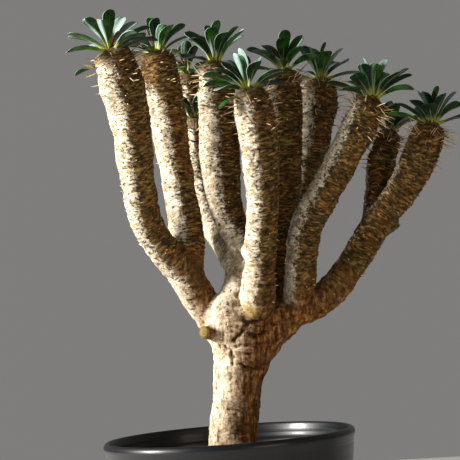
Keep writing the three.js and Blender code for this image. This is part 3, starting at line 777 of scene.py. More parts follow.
def heal_seams(piece):
    """Fills in what the new points along the seams carry, and eases the seams."""
    mesh, marks = piece.data, piece.data.attributes
    straight = taken(marks["straight"].data, "vector", 3)
    values = [taken(marks[key].data, "value") for key in EASED]
    table = np.column_stack([taken(mesh.vertices, "co", 3), *values])
    ends = taken(mesh.edges, "vertices", 2, np.int64)
    start, end = np.concatenate([ends, ends[:, ::-1]]).T
    known, fork = table[:, -1] > 0.999, 3 + EASED.index("fork")
    print(piece.name, "points made by joining:", int((~known).sum()))
    table[~known, fork] = 1
    for _ in range(HEAL["fills"]):
        edge = known[start] & ~known[end]
        source, target = start[edge], end[edge]
        straight[target] = straight[source]
        total = np.zeros((len(known), len(EASED) - 2))
        np.add.at(total, target, table[source, 3:-2])
        counts = np.bincount(target, minlength=len(known))
        new = counts > 0
        table[new, 3:-2] = total[new] / counts[new, None]
        known = known | new
    degree = np.bincount(start, minlength=len(known))[:, None]
    share = np.clip(table[:, fork], 0, 1)[:, None]
    for _ in range(HEAL["passes"]):
        around = np.zeros_like(table)
        np.add.at(around, end, table[start])
        table += HEAL["pull"] * share * (around / degree - table)
    mesh.vertices.foreach_set("co", table[:, :3].ravel())
    marks["straight"].data.foreach_set("vector", straight.ravel())
    for key, column in zip(EASED, table.T[3:]):
        marks[key].data.foreach_set("value", np.ascontiguousarray(column))
    mesh.update()
    return piece


# The wood is joined as two solids, the trunk with the left and the right, so that neither grows too heavy.
LEFT_WOOD = ["trunk", "trunk_spread", "left_outer", "left_inner", "centre_left", "back_short", "back_tall",
             "sawn_stub"]
bark_left = heal_seams(join_solids("bark_trunk_and_left", [tubes[name] for name in LEFT_WOOD]))
bark_right = heal_seams(join_solids("bark_right", [tubes[name] for name in tubes if name not in LEFT_WOOD]))

# %% [markdown]
# ## Creases of old wood
#
# Where the trunk forks, years of thickening have folded the bark, and a neck and a band run round the
# branch in the middle. These are single marks that can be told apart, so they are given one by one, as
# paths on the skin. Sculpting would do, but could not be repeated. The mesh is made finer near the
# paths, and then pressed in along them.

# %% Paths of the creases
CREASE = {"splits": 2, "longest": 0.95, "margin": 1.6, "play": 0.3, "slim": 0.8, "share": 0.72, "ragged": 0.8,
          "shadow": 0.6}
# A path on the skin, half its width, and its depth, below zero for a ridge.
CREASES = [
    ([(5.2, -18.1, 210.5), (5.8, -17.8, 205.8), (5.9, -18.5, 200.6)], 0.9, 2.4),
    ([(5.4, -18.1, 199.2), (4.8, -18.4, 195.0), (4.0, -17.6, 190.1)], 0.5, 1.0),
    ([(1.9, -16.9, 213.5), (2.4, -16.5, 210.7)], 0.8, 1.7),
    ([(-2.3, -15.2, 214.5), (-1.4, -14.6, 213.0)], 0.6, 1.2),
    ([(-10.1, -6.1, 166.9), (-10.9, -7.0, 161.3), (-11.0, -9.7, 154.4)], 0.6, 1.4),
    ([(12.9, -19.3, 200.1), (15.6, -18.5, 198.1), (18.4, -17.0, 197.1), (21.1, -16.2, 195.5),
      (23.2, -14.2, 195.5), (26.2, -12.9, 197.4), (28.9, -10.7, 199.2)], 0.7, 1.9),
    ([(15.9, -20.9, 231.8), (17.9, -20.9, 229.9), (20.7, -20.4, 228.9), (24.9, -19.1, 228.9),
      (29.9, -18.3, 229.6)], 1.9, 2.6),
    ([(18.4, -20.4, 226.6), (15.4, -20.7, 224.0), (13.1, -20.5, 221.4), (10.0, -20.2, 218.8),
      (7.7, -19.4, 216.1)], 1.3, 2.4),
    ([(19.4, -21.0, 221.6), (22.9, -19.1, 219.9), (27.1, -15.7, 219.8), (30.9, -12.4, 221.9)], 1.2, 2.2),
    ([(20.0, -21.0, 225.3), (24.0, -19.5, 224.8), (27.0, -17.5, 224.8)], 2.6, -1.3),
    ([(-3.9, -15.5, 216.7), (-1.7, -14.9, 213.7), (1.7, -16.3, 211.4), (5.9, -18.4, 210.8)], 0.9, 1.1),
    ([(13.5, -6.0, 281.5), (15.5, -6.6, 278.7), (18.4, -9.2, 273.9)], 1.1, 2.4),
    ([(20.9, -29.6, 270.6), (23.6, -33.2, 268.9), (27.7, -35.7, 268.4), (31.8, -36.7, 268.1),
      (37.5, -34.3, 268.5)], 0.9, 1.7),
    ([(26.8, -34.3, 256.3), (30.9, -33.6, 254.6), (35.1, -31.3, 253.9), (39.5, -25.8, 254.9)], 1.1, 1.5),
    ([(9.6, -19.7, 213.1), (14.6, -20.3, 213.5), (20.2, -19.7, 212.7), (25.0, -18.0, 210.5)], 0.9, 1.4),
    ([(10.8, -19.8, 209.5), (16.3, -19.7, 207.7), (21.9, -18.9, 207.2), (26.3, -17.2, 208.9)], 0.8, 1.2),
    ([(11.0, -19.8, 211.2), (17.0, -19.8, 210.4), (23.5, -18.8, 209.6)], 1.4, -1.2),
    ([(37.4, -10.5, 223.4), (39.7, -10.9, 226.1), (42.0, -9.4, 228.0)], 0.9, -1.3),
]


def distance_to_path(points, path):
    """How far points lie from a path of straight stretches."""
    path, nearest = np.array(path, float), np.full(len(points), np.inf)
    for start, end in zip(path, path[1:]):
        run = end - start
        share = np.clip((points - start) @ run / (run @ run), 0, 1)
        nearest = np.minimum(nearest, np.linalg.norm(points - start - share[:, None] * run, axis=1))
    return nearest


print("creases and ridges:", len(CREASES))

# %% Creases pressed in
def crease(piece):
    """Gives the wood finer faces along its creases, then presses them in."""
    mesh, grid = piece.data, bmesh.new()
    grid.from_mesh(mesh)
    for _ in range(CREASE["splits"]):
        edges = list(grid.edges)
        ends = np.array([(*edge.verts[0].co, *edge.verts[1].co) for edge in edges]) / MM
        middles = (ends[:, :3] + ends[:, 3:]) / 2
        lengths = np.linalg.norm(ends[:, 3:] - ends[:, :3], axis=1)
        off = np.min([distance_to_path(middles, path) - width for path, width, _ in CREASES], axis=0)
        chosen = [edges[i] for i in np.flatnonzero((off < CREASE["margin"]) & (lengths > CREASE["longest"]))]
        bmesh.ops.subdivide_edges(grid, edges=chosen, cuts=1, use_grid_fill=True)
    grid.to_mesh(mesh)
    grid.free()
    points, heights = taken(mesh.vertices, "co", 3), mesh.attributes["height"].data
    press = np.zeros(len(points))
    ragged = CREASE["ragged"] * smooth_noise(points / MM, 2.2, 22)
    for path, width, depth in CREASES:
        off = distance_to_path(points / MM, path) - CREASE["play"] + ragged
        press += CREASE["share"] * depth * np.exp(-((np.maximum(0, off) / (CREASE["slim"] * width)) ** 2))
    height = taken(heights, "value") - CREASE["shadow"] * np.maximum(0, press)
    points -= taken(mesh.vertices, "normal", 3) * press[:, None] * MM
    mesh.vertices.foreach_set("co", points.ravel())
    heights.foreach_set("value", height)
    mesh.update()
    print(piece.name, "faces:", len(mesh.polygons))


crease(bark_left)
crease(bark_right)

# %% [markdown]
# ## Bark finish
#
# The side that faces the sun is painted cream, which is painted sunlight over some real bleaching, with small
# dark pits that gather where sunlight meets shade, as painted shadow. The far side keeps its browns as
# painted shade: near black in the valleys between rings, tan on their tops, with rusty and olive patches.
# The trunk is older, streaked up and down, and darker towards its bottom. One brown with a bump map would
# look like cork. Here the colour follows the height that was cut into the mesh, and a mask of how far
# the wood faces the sun, roughened by noise, mixes the two sides. Creases, seams and the tops of the
# branches under the leaves get painted shade as well.

# %% Marks in the bark
def bark_marks(finish):
    """What the bark's points carry, and noise of several sizes."""
    place, straight = finish.place(), finish.carried("straight", "Vector")
    marks = {key: finish.carried(key) for key in ("height", "old", "near_tip", "sawn", "sunny")}
    blotch, patch = finish.noise(place, (90, 90, 70), 4.0), finish.noise(place, (300, 300, 340), 4.0, 0.6)
    grit, lines = finish.noise(place, 1300.0, 3.0, 0.6), finish.noise(straight, (0.22, 0.22, 0.74), 4.0, 0.62)
    lines = (lines - 0.5) * (1 - finish.carried("fork").between(0.0, 0.4)) + 0.5
    tops = marks["height"].between(0.05, 0.75)
    lamella = (lines - 0.5) * 1.3 + (patch - 0.5) * 0.6 + (grit - 0.5) * 0.3 + tops * 0.28 + 0.22
    # The sun-facing mask, roughened by noise, places painted light and painted shade on the bark.
    sun = marks.pop("sunny") + (blotch - 0.5) * 0.7 + (patch - 0.5) * 0.7 + (grit - 0.5) * 0.5
    return SimpleNamespace(place=place, straight=straight, blotch=blotch, patch=patch, grit=grit, lines=lines,
                           tops=tops, lamella=lamella, sun=sun, **marks)


print("the bark's points carry:", [mark.name for mark in bark_left.data.attributes if mark.domain == "POINT"])

# %% Young and old wood
def young_wood(finish, bark):
    """Ringed wood: brown, rusty and olive as painted shade, cream and grey as painted sunlight over some real
    bleaching.
    """
    brown = finish.ramp(bark.lamella, (0.0, 24, 15, 5), (0.25, 68, 49, 22), (0.5, 114, 87, 45),
                        (0.9, 184, 152, 98))
    rust = finish.ramp(bark.lamella, (0.0, 28, 16, 5), (0.35, 100, 66, 28), (0.9, 184, 134, 74))
    olive = finish.ramp(bark.lamella, (0.0, 24, 19, 6), (0.35, 84, 68, 32), (0.9, 162, 140, 86))
    shade = finish.blend(bark.blotch.between(0.50, 0.62), brown, rust)
    shade = finish.blend((1 - bark.blotch.between(0.36, 0.48)) * 0.8, shade, olive)
    pale = ((bark.patch - 0.5) * 0.9 + (bark.lines - 0.5) * 0.2 + (bark.grit - 0.5) * 0.5 + bark.tops * 0.22
            + 0.36)
    cream = finish.ramp(pale, (0.1, 104, 82, 50), (0.34, 176, 158, 126), (0.52, 208, 198, 178),
                        (0.85, 230, 225, 214))
    grey = finish.ramp(pale, (0.1, 82, 68, 48), (0.36, 138, 124, 100), (0.6, 180, 170, 150),
                       (0.9, 214, 208, 196))
    painted_sunlit = finish.blend(bark.blotch.between(0.46, 0.62), cream, grey)
    # Painted light and shade: the sun-facing mask mixes the painted shade side with the painted sunlit side.
    return finish.blend(bark.sun.between(-0.06, 0.24), shade, painted_sunlit)


def old_wood(finish, bark):
    """The trunk's wood, streaked and split up and down."""
    streak = finish.noise(bark.place, (400, 400, 64), 5.0, 0.65)
    flake = (streak - 0.5) * 1.1 + (bark.patch - 0.5) * 0.8 + bark.height * 0.26 + 0.355
    dark = finish.ramp(flake, (0.26, 38, 20, 6), (0.40, 78, 47, 18), (0.56, 118, 78, 38), (0.74, 176, 130, 76))
    pale = finish.ramp(flake, (0.24, 104, 78, 48), (0.38, 172, 148, 112), (0.54, 208, 194, 168),
                       (0.78, 228, 220, 204))
    # Painted light and shade: the trunk is pale where it faces the sun and dark where it faces away.
    colour = finish.blend(bark.sun.between(-0.45, 0.85), dark, pale)
    vein = finish.noise(bark.place, (330, 330, 60), 3.0, 0.55) - 0.5
    split = 1 - finish.node("ShaderNodeMath", {"operation": "ABSOLUTE"}, {0: vein}).between(0.0, 0.022)
    return finish.blend(split * (1 - bark.blotch.between(0.42, 0.56)) * 0.75, colour, (46, 26, 9))


print("kinds of wood:", [kind.__name__ for kind in (young_wood, old_wood)])

# %% Bark colours
# The root of centre_front, where the bark stays yellow, in metres.
TAN_FOOT = (0.0206, -0.0237, 0.2372)


def bark_finish():
    finish = Finish("bark")
    bark = bark_marks(finish)
    bare = finish.blend(bark.old, young_wood(finish, bark), old_wood(finish, bark))
    # The trunk is made darker towards its bottom.
    rise = finish.vector("LENGTH", finish.vector("MULTIPLY", bark.place, (0, 0, 1)), out="Value")
    above_trunk_foot = (rise + (bark.patch - 0.5) * 0.05).between(0.118, 0.176)
    away = finish.vector("DISTANCE", bark.place, TAN_FOOT, out="Value") + (bark.patch - 0.5) * 0.006
    speck = finish.noise(bark.place, (360, 360, 620), 3.0, 0.6)
    # Pits: real dark pits, with more of them where sunlight meets shade, as painted shadow of light grazing the
    # bark.
    edge = bark.sun.between(-0.2, 0.1) * (1 - bark.sun.between(0.2, 0.6))
    pit = speck + edge * 0.07 + bark.near_tip * 0.02 - bark.old * 0.06
    pit = pit.between(0.61, 0.66) * (1 - bark.sawn)
    # Painted shade of the leaves: the top of each branch, just under its rosette, is made darker.
    under_leaf_shade = finish.ramp(bark.lamella, (0.0, 30, 20, 7), (0.5, 96, 74, 36), (1.0, 168, 138, 86))
    crown = (bark.near_tip + (bark.patch - 0.5) * 0.16).between(0.86, 0.97)
    # Painted shade where the height is low: in creases, seams and the valleys between rings.
    crease_shade = (0.1 - bark.height + (bark.patch - 0.5) * 1.4).between(0.0, 1.6)
    reach = finish.vector("LENGTH", finish.vector("MULTIPLY", bark.straight, (1, 1, 0)), out="Value")
    face = finish.ramp(reach * 0.2, (0.0, 60, 44, 18), (0.10, 122, 104, 58), (0.34, 96, 78, 38),
                       (0.42, 132, 114, 68), (0.8, 108, 88, 46))
    colour = finish.layers(
        bare, ((1 - above_trunk_foot) * 0.45, (86, 58, 26)), ((1 - away.between(0.002, 0.009)) * 0.75, (146, 120, 58)),
        (pit * 0.85, (30, 20, 10)), (crown * 0.85, under_leaf_shade), (crease_shade * 0.7, (42, 26, 10)), (bark.sawn, face))

    fine = finish.noise(bark.place, 900.0, 5.0, 0.7)
    relief = finish.bump(fine * 0.5 + bark.lines * 0.3 + (1 - pit) * 0.4, 0.0014)
    return finish.finished(Base_Color=colour, Roughness=0.62 + 0.25 * fine, Normal=relief,
                           Specular_IOR_Level=0.12)


BARK = bark_finish()
place_piece(bark_left, "bark", BARK, "trunk_and_branches")
place_piece(bark_right, "bark", BARK, "trunk_and_branches")

# %% [markdown]
# ## Where the leaves stand
#
# Each branch ends in a rosette, whose leaves spring from a short heart. The leaves that can be told
# apart are listed one by one, by their bearing and their rise, and the rest fill an even spiral wherever
# there is a gap. Drawing them all at random would be quicker, but would clump. Neighbouring rosettes
# would also run into each other, so a leaf stands more steeply the less room it has on its side.

# %% Rosettes as they were seen
# The number of leaves, their size, the spiral's turn, and the leaves given one by one, in degrees.
ROSETTES = {
    "left_outer": (15, 1.0, 0.3, [(195, 25), (225, 47), (262, 40), (285, 72), (214, -5), (312, 16),
                                  (36, 40), (55, 52), (40, 18), (55, -3), (112, 48), (128, 8)]),
    "left_inner": (14, 0.9, 1.1, [(100, 50), (275, 62), (292, 40), (55, 36), (300, 15), (135, 30), (140, 2)]),
    "centre_left": (14, 1.04, 2.3, [(238, 32), (100, 66), (160, 50), (120, 44), (270, 50), (70, 40),
                                    (35, 38), (292, 34), (232, 6)]),
    "centre_front": (14, 1.0, 0.7, [(215, 30), (207, 8), (250, 54), (232, -12), (95, 60), (60, 48),
                                    (287, 34), (325, 22), (135, 46)]),
    "centre_right": (13, 1.0, 1.9, [(125, 42), (270, 50), (80, 48), (298, 28), (45, 32), (318, 12)]),
    "back_right": (12, 0.95, 2.9, [(285, 42), (315, 22), (255, 24), (238, 6), (60, 28)]),
    "right_front": (14, 1.0, 0.2, [(248, 52), (240, 32), (278, 50), (75, 46), (315, 32), (325, 8), (225, 12)]),
    "right_short": (10, 0.85, 1.4, [(265, 30), (75, 40), (300, 24)]),
    "right_outer": (14, 0.93, 2.6, [(230, 38), (135, 18), (250, 55), (85, 42), (292, 46), (318, 26)]),
    "back_short": (9, 0.8, 0.9, [(240, 40)]),
    "back_tall": (10, 0.85, 1.7, [(200, 35)]),
}
# How much painted sunlight the pale wax gets: less on rosettes that stand in the shade of others, which is
# painted shade.
SUNLIT_WAX = {"left_inner": 0.8, "centre_left": 1.7, "centre_front": 1.4, "centre_right": 0.5, "back_right": 0.4,
       "right_front": 0.4, "right_short": 0.3, "right_outer": 0.35, "back_short": 0.5, "back_tall": 0.5}
print("leaves placed by hand:", sum(len(seen) for *_, seen in ROSETTES.values()))

# %% Directions of the leaves
SPIRAL = {"directions": 60, "stride": 23, "lowest": 0.03, "highest": 1.4, "apart": 0.44}
GOLDEN = math.pi * (3 - math.sqrt(5))


def mix(first, second, share):
    """The first value where share is 0 and the second where it is 1."""
    return first + (second - first) * share


def aim(bearing, rise):
    """A direction from a bearing round the upright and a rise above the level."""
    return np.array([math.cos(bearing) * math.cos(rise), math.sin(bearing) * math.cos(rise), math.sin(rise)])


def leaf_directions(leaves, turn, seen):
    """The bearing and rise of each leaf of a rosette, in radians."""
    found = [(math.radians(bearing), math.radians(rise)) for bearing, rise in seen]
    lowest, highest = math.sin(SPIRAL["lowest"]), math.sin(SPIRAL["highest"])
    for i in range(SPIRAL["directions"]):
        step = (i * SPIRAL["stride"]) % SPIRAL["directions"]
        candidate = (turn + step * GOLDEN, math.asin(mix(lowest, highest, step / (SPIRAL["directions"] - 1))))
        apart = (math.acos(min(1, aim(*leaf) @ aim(*candidate))) for leaf in found)
        if len(found) < leaves and all(angle > SPIRAL["apart"] for angle in apart):
            found.append(candidate)
    return found


print("bearing and rise of three leaves:", np.degrees(leaf_directions(3, 0.0, [])).round().tolist())

# %% Room for the leaves
LEAF = {"length": 32.5, "upright_length": 27.5, "width": 12.5, "upright_width": 10.0, "bend": 0.5,
        "twist": 0.45, "twist_step": 2.2, "seat_lift": 0.16}
HEART = {"base": 6.4, "top": 2.4, "height": 5.5, "low_root": 1.8, "high_root": 4.6, "sunk": 1.8, "gap": 0.3}
NEIGHBOUR = {"free_drop": 30, "margin": 1.4}
Leaf = namedtuple("Leaf", "root bearing rise length width twist young wax")


def reach(name, bearing):
    """How far a rosette may spread on a bearing before it meets a neighbour halfway."""
    own, limits = stems[name].seat, [math.inf]
    for other, stem in stems.items():
        away = stem.seat - own
        turn = math.cos(math.atan2(away[1], away[0]) - bearing)
        if other != name and away[2] >= -NEIGHBOUR["free_drop"] and turn > 0:
            limits.append(math.hypot(away[0], away[1]) / 2 / turn)
    return min(limits) - NEIGHBOUR["margin"]


def leaves_of(name):
    """Each leaf of a rosette: its root, bearing, rise, length, width, twist and how much painted sunlight its
    wax gets.
    """
    count, size, turn, seen = ROSETTES[name]
    end, heading = stems[name].seat, stems[name].heading
    leaves = []
    for place, (bearing, wanted) in enumerate(leaf_directions(count, turn, seen)):
        upright, outward = max(0, math.sin(wanted)), aim(bearing, 0)
        length, width = (mix(LEAF[key], LEAF["upright_" + key], upright) * size for key in ("length", "width"))
        sweep = math.atan2(width / 2, length)
        room = min(reach(name, bearing + side) for side in (-sweep, 0, sweep))
        seat_slope = math.atan2(-heading @ outward, heading[2])
        rise = max(wanted, math.acos(min(1, room / (length + HEART["low_root"]))),
                   seat_slope - LEAF["bend"] / 2 + LEAF["seat_lift"])
        height = mix(HEART["low_root"], HEART["high_root"], upright)
        inset = mix(HEART["base"], HEART["top"], height / HEART["height"]) - HEART["sunk"]
        root = end + heading * (height + HEART["gap"]) + outward * inset
        twist = LEAF["twist"] * math.sin(LEAF["twist_step"] * place)
        leaves.append(Leaf(root, bearing, rise, length, width, twist, young=0.0, wax=SUNLIT_WAX.get(name, 1.0)))
    return leaves


rosettes = {name: leaves_of(name) for name in ROSETTES}
print("leaves:", sum(len(leaves) for leaves in rosettes.values()))

# %% [markdown]
# ## A leaf
#
# A leaf is a narrow, fleshy strap for its first third, widest at three quarters of its length, with a
# rounded end. It is folded along its midrib, sharply near the base and more openly towards the tip.
# A flat card with a picture of a leaf on it would do from far off, but these leaves are thick and are
# seen edge on. So each is a closed skin of cross sections: the upper face over the fold, round the
# margin, and back under the keel. Young leaves at the heart are the same leaf, short and folded shut.

# %% Shape of a leaf
LEAF_ROWS = 20
LEAF_SIDES = 11
BLADE = {"narrow": 0.2, "swell": (0.06, 0.70), "round": 0.78, "fold": (0.66, 0.32), "gutter": 0.16,
         "droop": 0.12, "edge": 0.34, "flesh": 0.55, "foot": 1.3, "foot_end": 0.42, "keel": 0.8,
         "keel_width": 0.2, "shut": 0.62, "wave": 0.5}


def leaf_skin(leaf, draw):
    """A closed leaf, with what its finish needs: where a point lies on it and how it faces the sun."""
    steps = np.linspace(0, 1, LEAF_ROWS)
    share = (0.55 * steps + 0.45 * np.sin(steps * np.pi / 2))[:, None] * 0.9995
    first, bend = leaf.rise + LEAF["bend"] / 2, LEAF["bend"]
    slope = first - bend * share
    outward, up, level = aim(leaf.bearing, 0), np.array([0, 0, 1.0]), aim(leaf.bearing + np.pi / 2, 0)
    centre = (leaf.root + outward * leaf.length * (np.sin(first) - np.sin(slope)) / bend
              + up * leaf.length * (np.cos(slope) - np.cos(first)) / bend)
    above = up * np.cos(slope) - outward * np.sin(slope)
    twist = leaf.twist * share
    sideways = level * np.cos(twist) + above * np.sin(twist)
    above = above * np.cos(twist) - level * np.sin(twist)

    swell = step_between(share, *BLADE["swell"])
    end = np.clip((share - BLADE["round"]) / (1 - BLADE["round"]), 0, 1)
    half = leaf.width / 2 * (BLADE["narrow"] + (1 - BLADE["narrow"]) * swell) * np.sqrt(1 - end**2.3)
    fold = mix(*BLADE["fold"], share) + leaf.young * BLADE["shut"]
    turn = np.linspace(0, np.pi, LEAF_SIDES)
    over = np.sign(np.cos(turn)) * np.abs(np.cos(turn)) ** 0.85
    across = np.concatenate([over, over[-2:0:-1]])
    upper = np.concatenate([np.ones(LEAF_SIDES), np.zeros(LEAF_SIDES - 2)])
    rim = np.abs(across)
    valley = np.sqrt(rim**2 + BLADE["gutter"] ** 2) - BLADE["gutter"]
    lift = half * (valley * np.sin(fold) - BLADE["droop"] * rim**4)
    keel = BLADE["keel"] * np.exp(-(rim / BLADE["keel_width"]) ** 2) * (1 - share)
    foot = BLADE["foot"] * (1 - step_between(share, 0, BLADE["foot_end"])) * (1 - rim**2)
    flesh = BLADE["edge"] + BLADE["flesh"] * (1 - rim**2) + keel + foot
    thick = flesh * np.sqrt(1 - end**4) * (upper - 0.5)
    rings = (centre[:, None] + sideways[:, None] * (half * across * np.cos(fold))[..., None]
             + above[:, None] * (lift + thick)[..., None])
    ripple = smooth_noise(rings, 7, draw.integers(1, 999)) * BLADE["wave"] * rim * share
    rings = rings + above[:, None] * ripple[..., None]
    faces = np.cross(np.roll(rings, -1, axis=1) - np.roll(rings, 1, axis=1), np.gradient(rings, axis=0))
    faces /= np.linalg.norm(faces, axis=-1, keepdims=True) + 1e-9
    # Where a face turns to the sun, times the leaf's sunlit wax, the finish paints light on the wax bloom.
    return skin_over(rings, along=share, across=rim, tone=draw.random(), young=leaf.young, heart=0.0,
                     sunny=faces @ SUN * leaf.wax)


sample_leaf = leaf_skin(rosettes["left_outer"][0], np.random.default_rng(1))
print("faces in one leaf:", len(sample_leaf.faces))

# %% [markdown]
# ## Rosettes
#
# The leaves' feet crowd round a fleshy, yellow-green heart, and four young leaves stand folded shut in
# its middle, still red-brown. The heart is a low dome on the seat of the branch. On two branches an old
# leaf hangs below the rest. Everything in a rosette grows together, so it is one piece and takes the
# place of one solid.

# %% Rosettes
# Old leaves that hang below a rosette: bearing, rise, length, width, how far out and down they start, and
# how much painted sunlight their wax gets.
HANGING = {"centre_front": [(214, -26, 19, 10.0, 8.5, 1.5, 0.1)],
           "left_outer": [(172, -14, 21, 8.0, 9.0, 8.0, 1.0)]}
YOUNG = {"leaves": 4, "length": (12.5, 18.0), "width": 3.6, "rise": 1.08, "height": 4.2, "out": 0.9}


def heart_skin(stem):
    """The low dome that the leaves spring from."""
    turns, share = once_round(24), np.linspace(0, 1, 10)[:, None]
    radius = mix(HEART["base"], HEART["top"] * 0.2, share**2.2) + 0.35 * np.sin(turns * 8 + share * 9)
    height = -0.5 + (HEART["height"] + 0.6) * np.sin(share * np.pi / 2) ** 0.9
    rays = rays_round(stem.across[-1], stem.side[-1], turns)
    rings = stem.seat + stem.heading * height[..., None] + rays * radius[..., None]
    return skin_over(rings, along=0.0, across=0.5, tone=0.5, young=0.0, heart=1.0, sunny=rays @ SUN)


def add_rosette(name, number):
    """The leaves, the young leaves, any hanging leaves and the heart, as one mesh."""
    stem, draw = stems[name], np.random.default_rng(500 + number)
    skins = [leaf_skin(leaf, draw) for leaf in rosettes[name]]
    for i in range(YOUNG["leaves"]):
        bearing = ROSETTES[name][2] + i * 2 * np.pi / YOUNG["leaves"] + draw.uniform(-0.3, 0.3)
        root = stem.seat + stem.heading * YOUNG["height"] + aim(bearing, 0) * YOUNG["out"]
        rise = YOUNG["rise"] + draw.uniform(-0.08, 0.12)
        length = draw.uniform(*YOUNG["length"]) * ROSETTES[name][1]
        young = Leaf(root, bearing, rise, length, YOUNG["width"], twist=0.3, young=1.0, wax=0.6)
        skins.append(leaf_skin(young, draw))
    for bearing, rise, length, width, out, down, wax in HANGING.get(name, []):
        bearing, rise = math.radians(bearing), math.radians(rise)
        root = stem.seat - stem.heading * down + aim(bearing, 0) * out
        skins.append(leaf_skin(Leaf(root, bearing, rise, length, width, twist=0.2, young=0.0, wax=wax), draw))
    return add_mesh("rosette_" + name, [*skins, heart_skin(stem)])


leaf_pieces = {name: add_rosette(name, number) for number, name in enumerate(ROSETTES)}
print("rosettes:", len(leaf_pieces))

# %% [markdown]
# ## Leaf finish
#
# The blade is dark green, almost black in shade, with a bluish bloom of wax that shows white where the
# sun strikes it. Its foot, midrib and margin are pale yellow-green. A plain green with gloss would miss
# the bloom, which stays pale from every side, so its pale colour is painted in as light where a face is
# turned to the sun, and less on rosettes in the shade of others. The leaves differ a little from each
# other, by a number that each carries.

# %% Leaf colours
def leaf_finish():
    finish = Finish("leaf")
    along, across, tone = finish.carried("along"), finish.carried("across"), finish.carried("tone")
    cloud, fine = finish.noise(finish.place(), 130.0, 4.0), finish.noise(finish.place(), 520.0, 4.0, 0.65)
    deep = finish.blend(tone, (4, 22, 7), (10, 38, 10))
    fresh = finish.blend(tone.between(0.3, 0.9), (13, 46, 18), (50, 104, 24))
    green = finish.blend((cloud * 0.7 + fine * 0.3).between(0.40, 0.66), deep, fresh)
    # Painted light: the pale wax bloom is mixed in where a face turns to the sun, over the blade's real green.
    sunlit_bloom = finish.carried("sunny").between(0.05, 0.45) * (0.55 + 0.7 * cloud) * (0.65 + 0.35 * tone)
    rib = (1 - across.between(0.03, 0.12)) * (1 - along.between(0.35, 0.85)) * 0.6
    foot = 1 - (along + (fine - 0.5) * 0.1).between(0.05, 0.34)
    colour = finish.layers(green, (sunlit_bloom, (156, 180, 174)), (rib, (150, 166, 84)),
                           (across.between(0.95, 0.99) * 0.3, (120, 136, 72)), (foot, (158, 164, 80)))
    blush = finish.ramp(along + (cloud - 0.5) * 0.3, (0.0, 150, 132, 66), (0.3, 126, 74, 50), (1.0, 84, 32, 30))
    flesh = finish.ramp(fine, (0.3, 44, 32, 12), (0.55, 92, 76, 34), (0.9, 140, 128, 66))
    colour = finish.layers(colour, (finish.carried("young"), blush), (finish.carried("heart"), flesh))
    relief = finish.bump(fine * 0.6 + cloud * 0.4, 0.00035)
    return finish.finished(Base_Color=colour, Roughness=0.42 + 0.16 * fine, Normal=relief,
                           Specular_IOR_Level=0.18)


LEAF_GREEN = leaf_finish()
for name, piece in leaf_pieces.items():
    place_piece(piece, "leaf", LEAF_GREEN, "leaf_rosette_" + name)

# %% [markdown]
# ## Thorns
#
# Thorns stand in a spiral round the upper part of each branch. They are longest just under the leaves,
# where they bend a little, and lower down only worn stubs of them are left. On the right they make a
# dense, thin, golden-brown collar. The packed solid carries sixteen places to a branch. Here the same
# thorns are drawn again, finer, with slighter ones between them. A hair system would be lost on export,
# so each is a small closed cone of its own. The longer ones keep clear of the leaves.

# %% Places on the leaves and branches
LEAF_STATIONS = np.array([0, 0.42, 0.7, 0.88, 1])


def places_on(leaf):
    """Places along the midrib of a leaf."""
    slope = leaf.rise + LEAF["bend"] * (0.5 - (LEAF_STATIONS[1:] + LEAF_STATIONS[:-1]) / 2)
    step = np.diff(LEAF_STATIONS) * leaf.length
    out, up = np.cumsum(step * np.cos(slope)), np.cumsum(step * np.sin(slope))
    return [leaf.root, *(leaf.root + aim(leaf.bearing, 0) * o + np.array([0, 0, u]) for o, u in zip(out, up))]


def stem_at(stem, drop, bearing):
    """The centre and radius of a branch at a drop below its tip, and the directions along and out."""
    place = stem.seat_run - drop
    centre, along = (np.array([np.interp(place, stem.places, part) for part in field.T])
                     for field in (stem.centres, stem.along))
    along = unit(along)
    across = unit(np.array([1.0, 0, 0]) - along * along[0])
    outward = across * math.cos(bearing) + np.cross(along, across) * math.sin(bearing)
    return centre, np.interp(place, stem.places, stem.radii), along, outward


LEAF_PLACES = np.array([place for leaves in rosettes.values() for leaf in leaves for place in places_on(leaf)])
print("places on the leaves:", len(LEAF_PLACES))

# %% A thorn
THORN = {"seed": 271, "count": 16, "first": 4.5, "last": 38, "crowding": 1.5, "shortest": 4, "longest": 13.5,
         "radius": 0.62, "root": 0.95, "bearing_play": 0.3, "length_play": 0.2, "lift": 0.15, "bend": 0.06,
         "clear": 7, "checked": [0.3, 0.65, 1], "sides": 7}


def thorn_skin(root, direction, length, radius, bend, tone):
    """A slim cone that bends a little, with its foot in the wood."""
    share = np.array([-0.25, 0, 0.25, 0.5, 0.75, 0.92, 1.0])
    girth = radius * np.array([1.15, 1.0, 0.8, 0.62, 0.42, 0.2, 0.05])
    first = unit(np.cross(direction, [0, 0, 1.0]) + 1e-6)
    middle = root + np.outer(share * length, direction) + np.outer(np.maximum(share, 0) ** 2 * length, bend)
    ring = rays_round(first, np.cross(direction, first), once_round(THORN["sides"]))
    rings = middle[:, None] + ring * girth[:, None, None]
    return skin_over(rings, along=np.clip(share, 0, 1)[:, None], tone=tone)


def is_clear(root, direction, length, kind, shares):
    """Whether places along a thorn keep their distance from every leaf."""
    checked = root + np.outer(shares, direction) * length
    return np.linalg.norm(checked[:, None] - LEAF_PLACES, axis=-1).min() > kind["clear"]


print("faces in a thorn:", len(thorn_skin(np.zeros(3), np.array([1.0, 0, 0]), 10, 0.6, np.zeros(3), 0).faces))

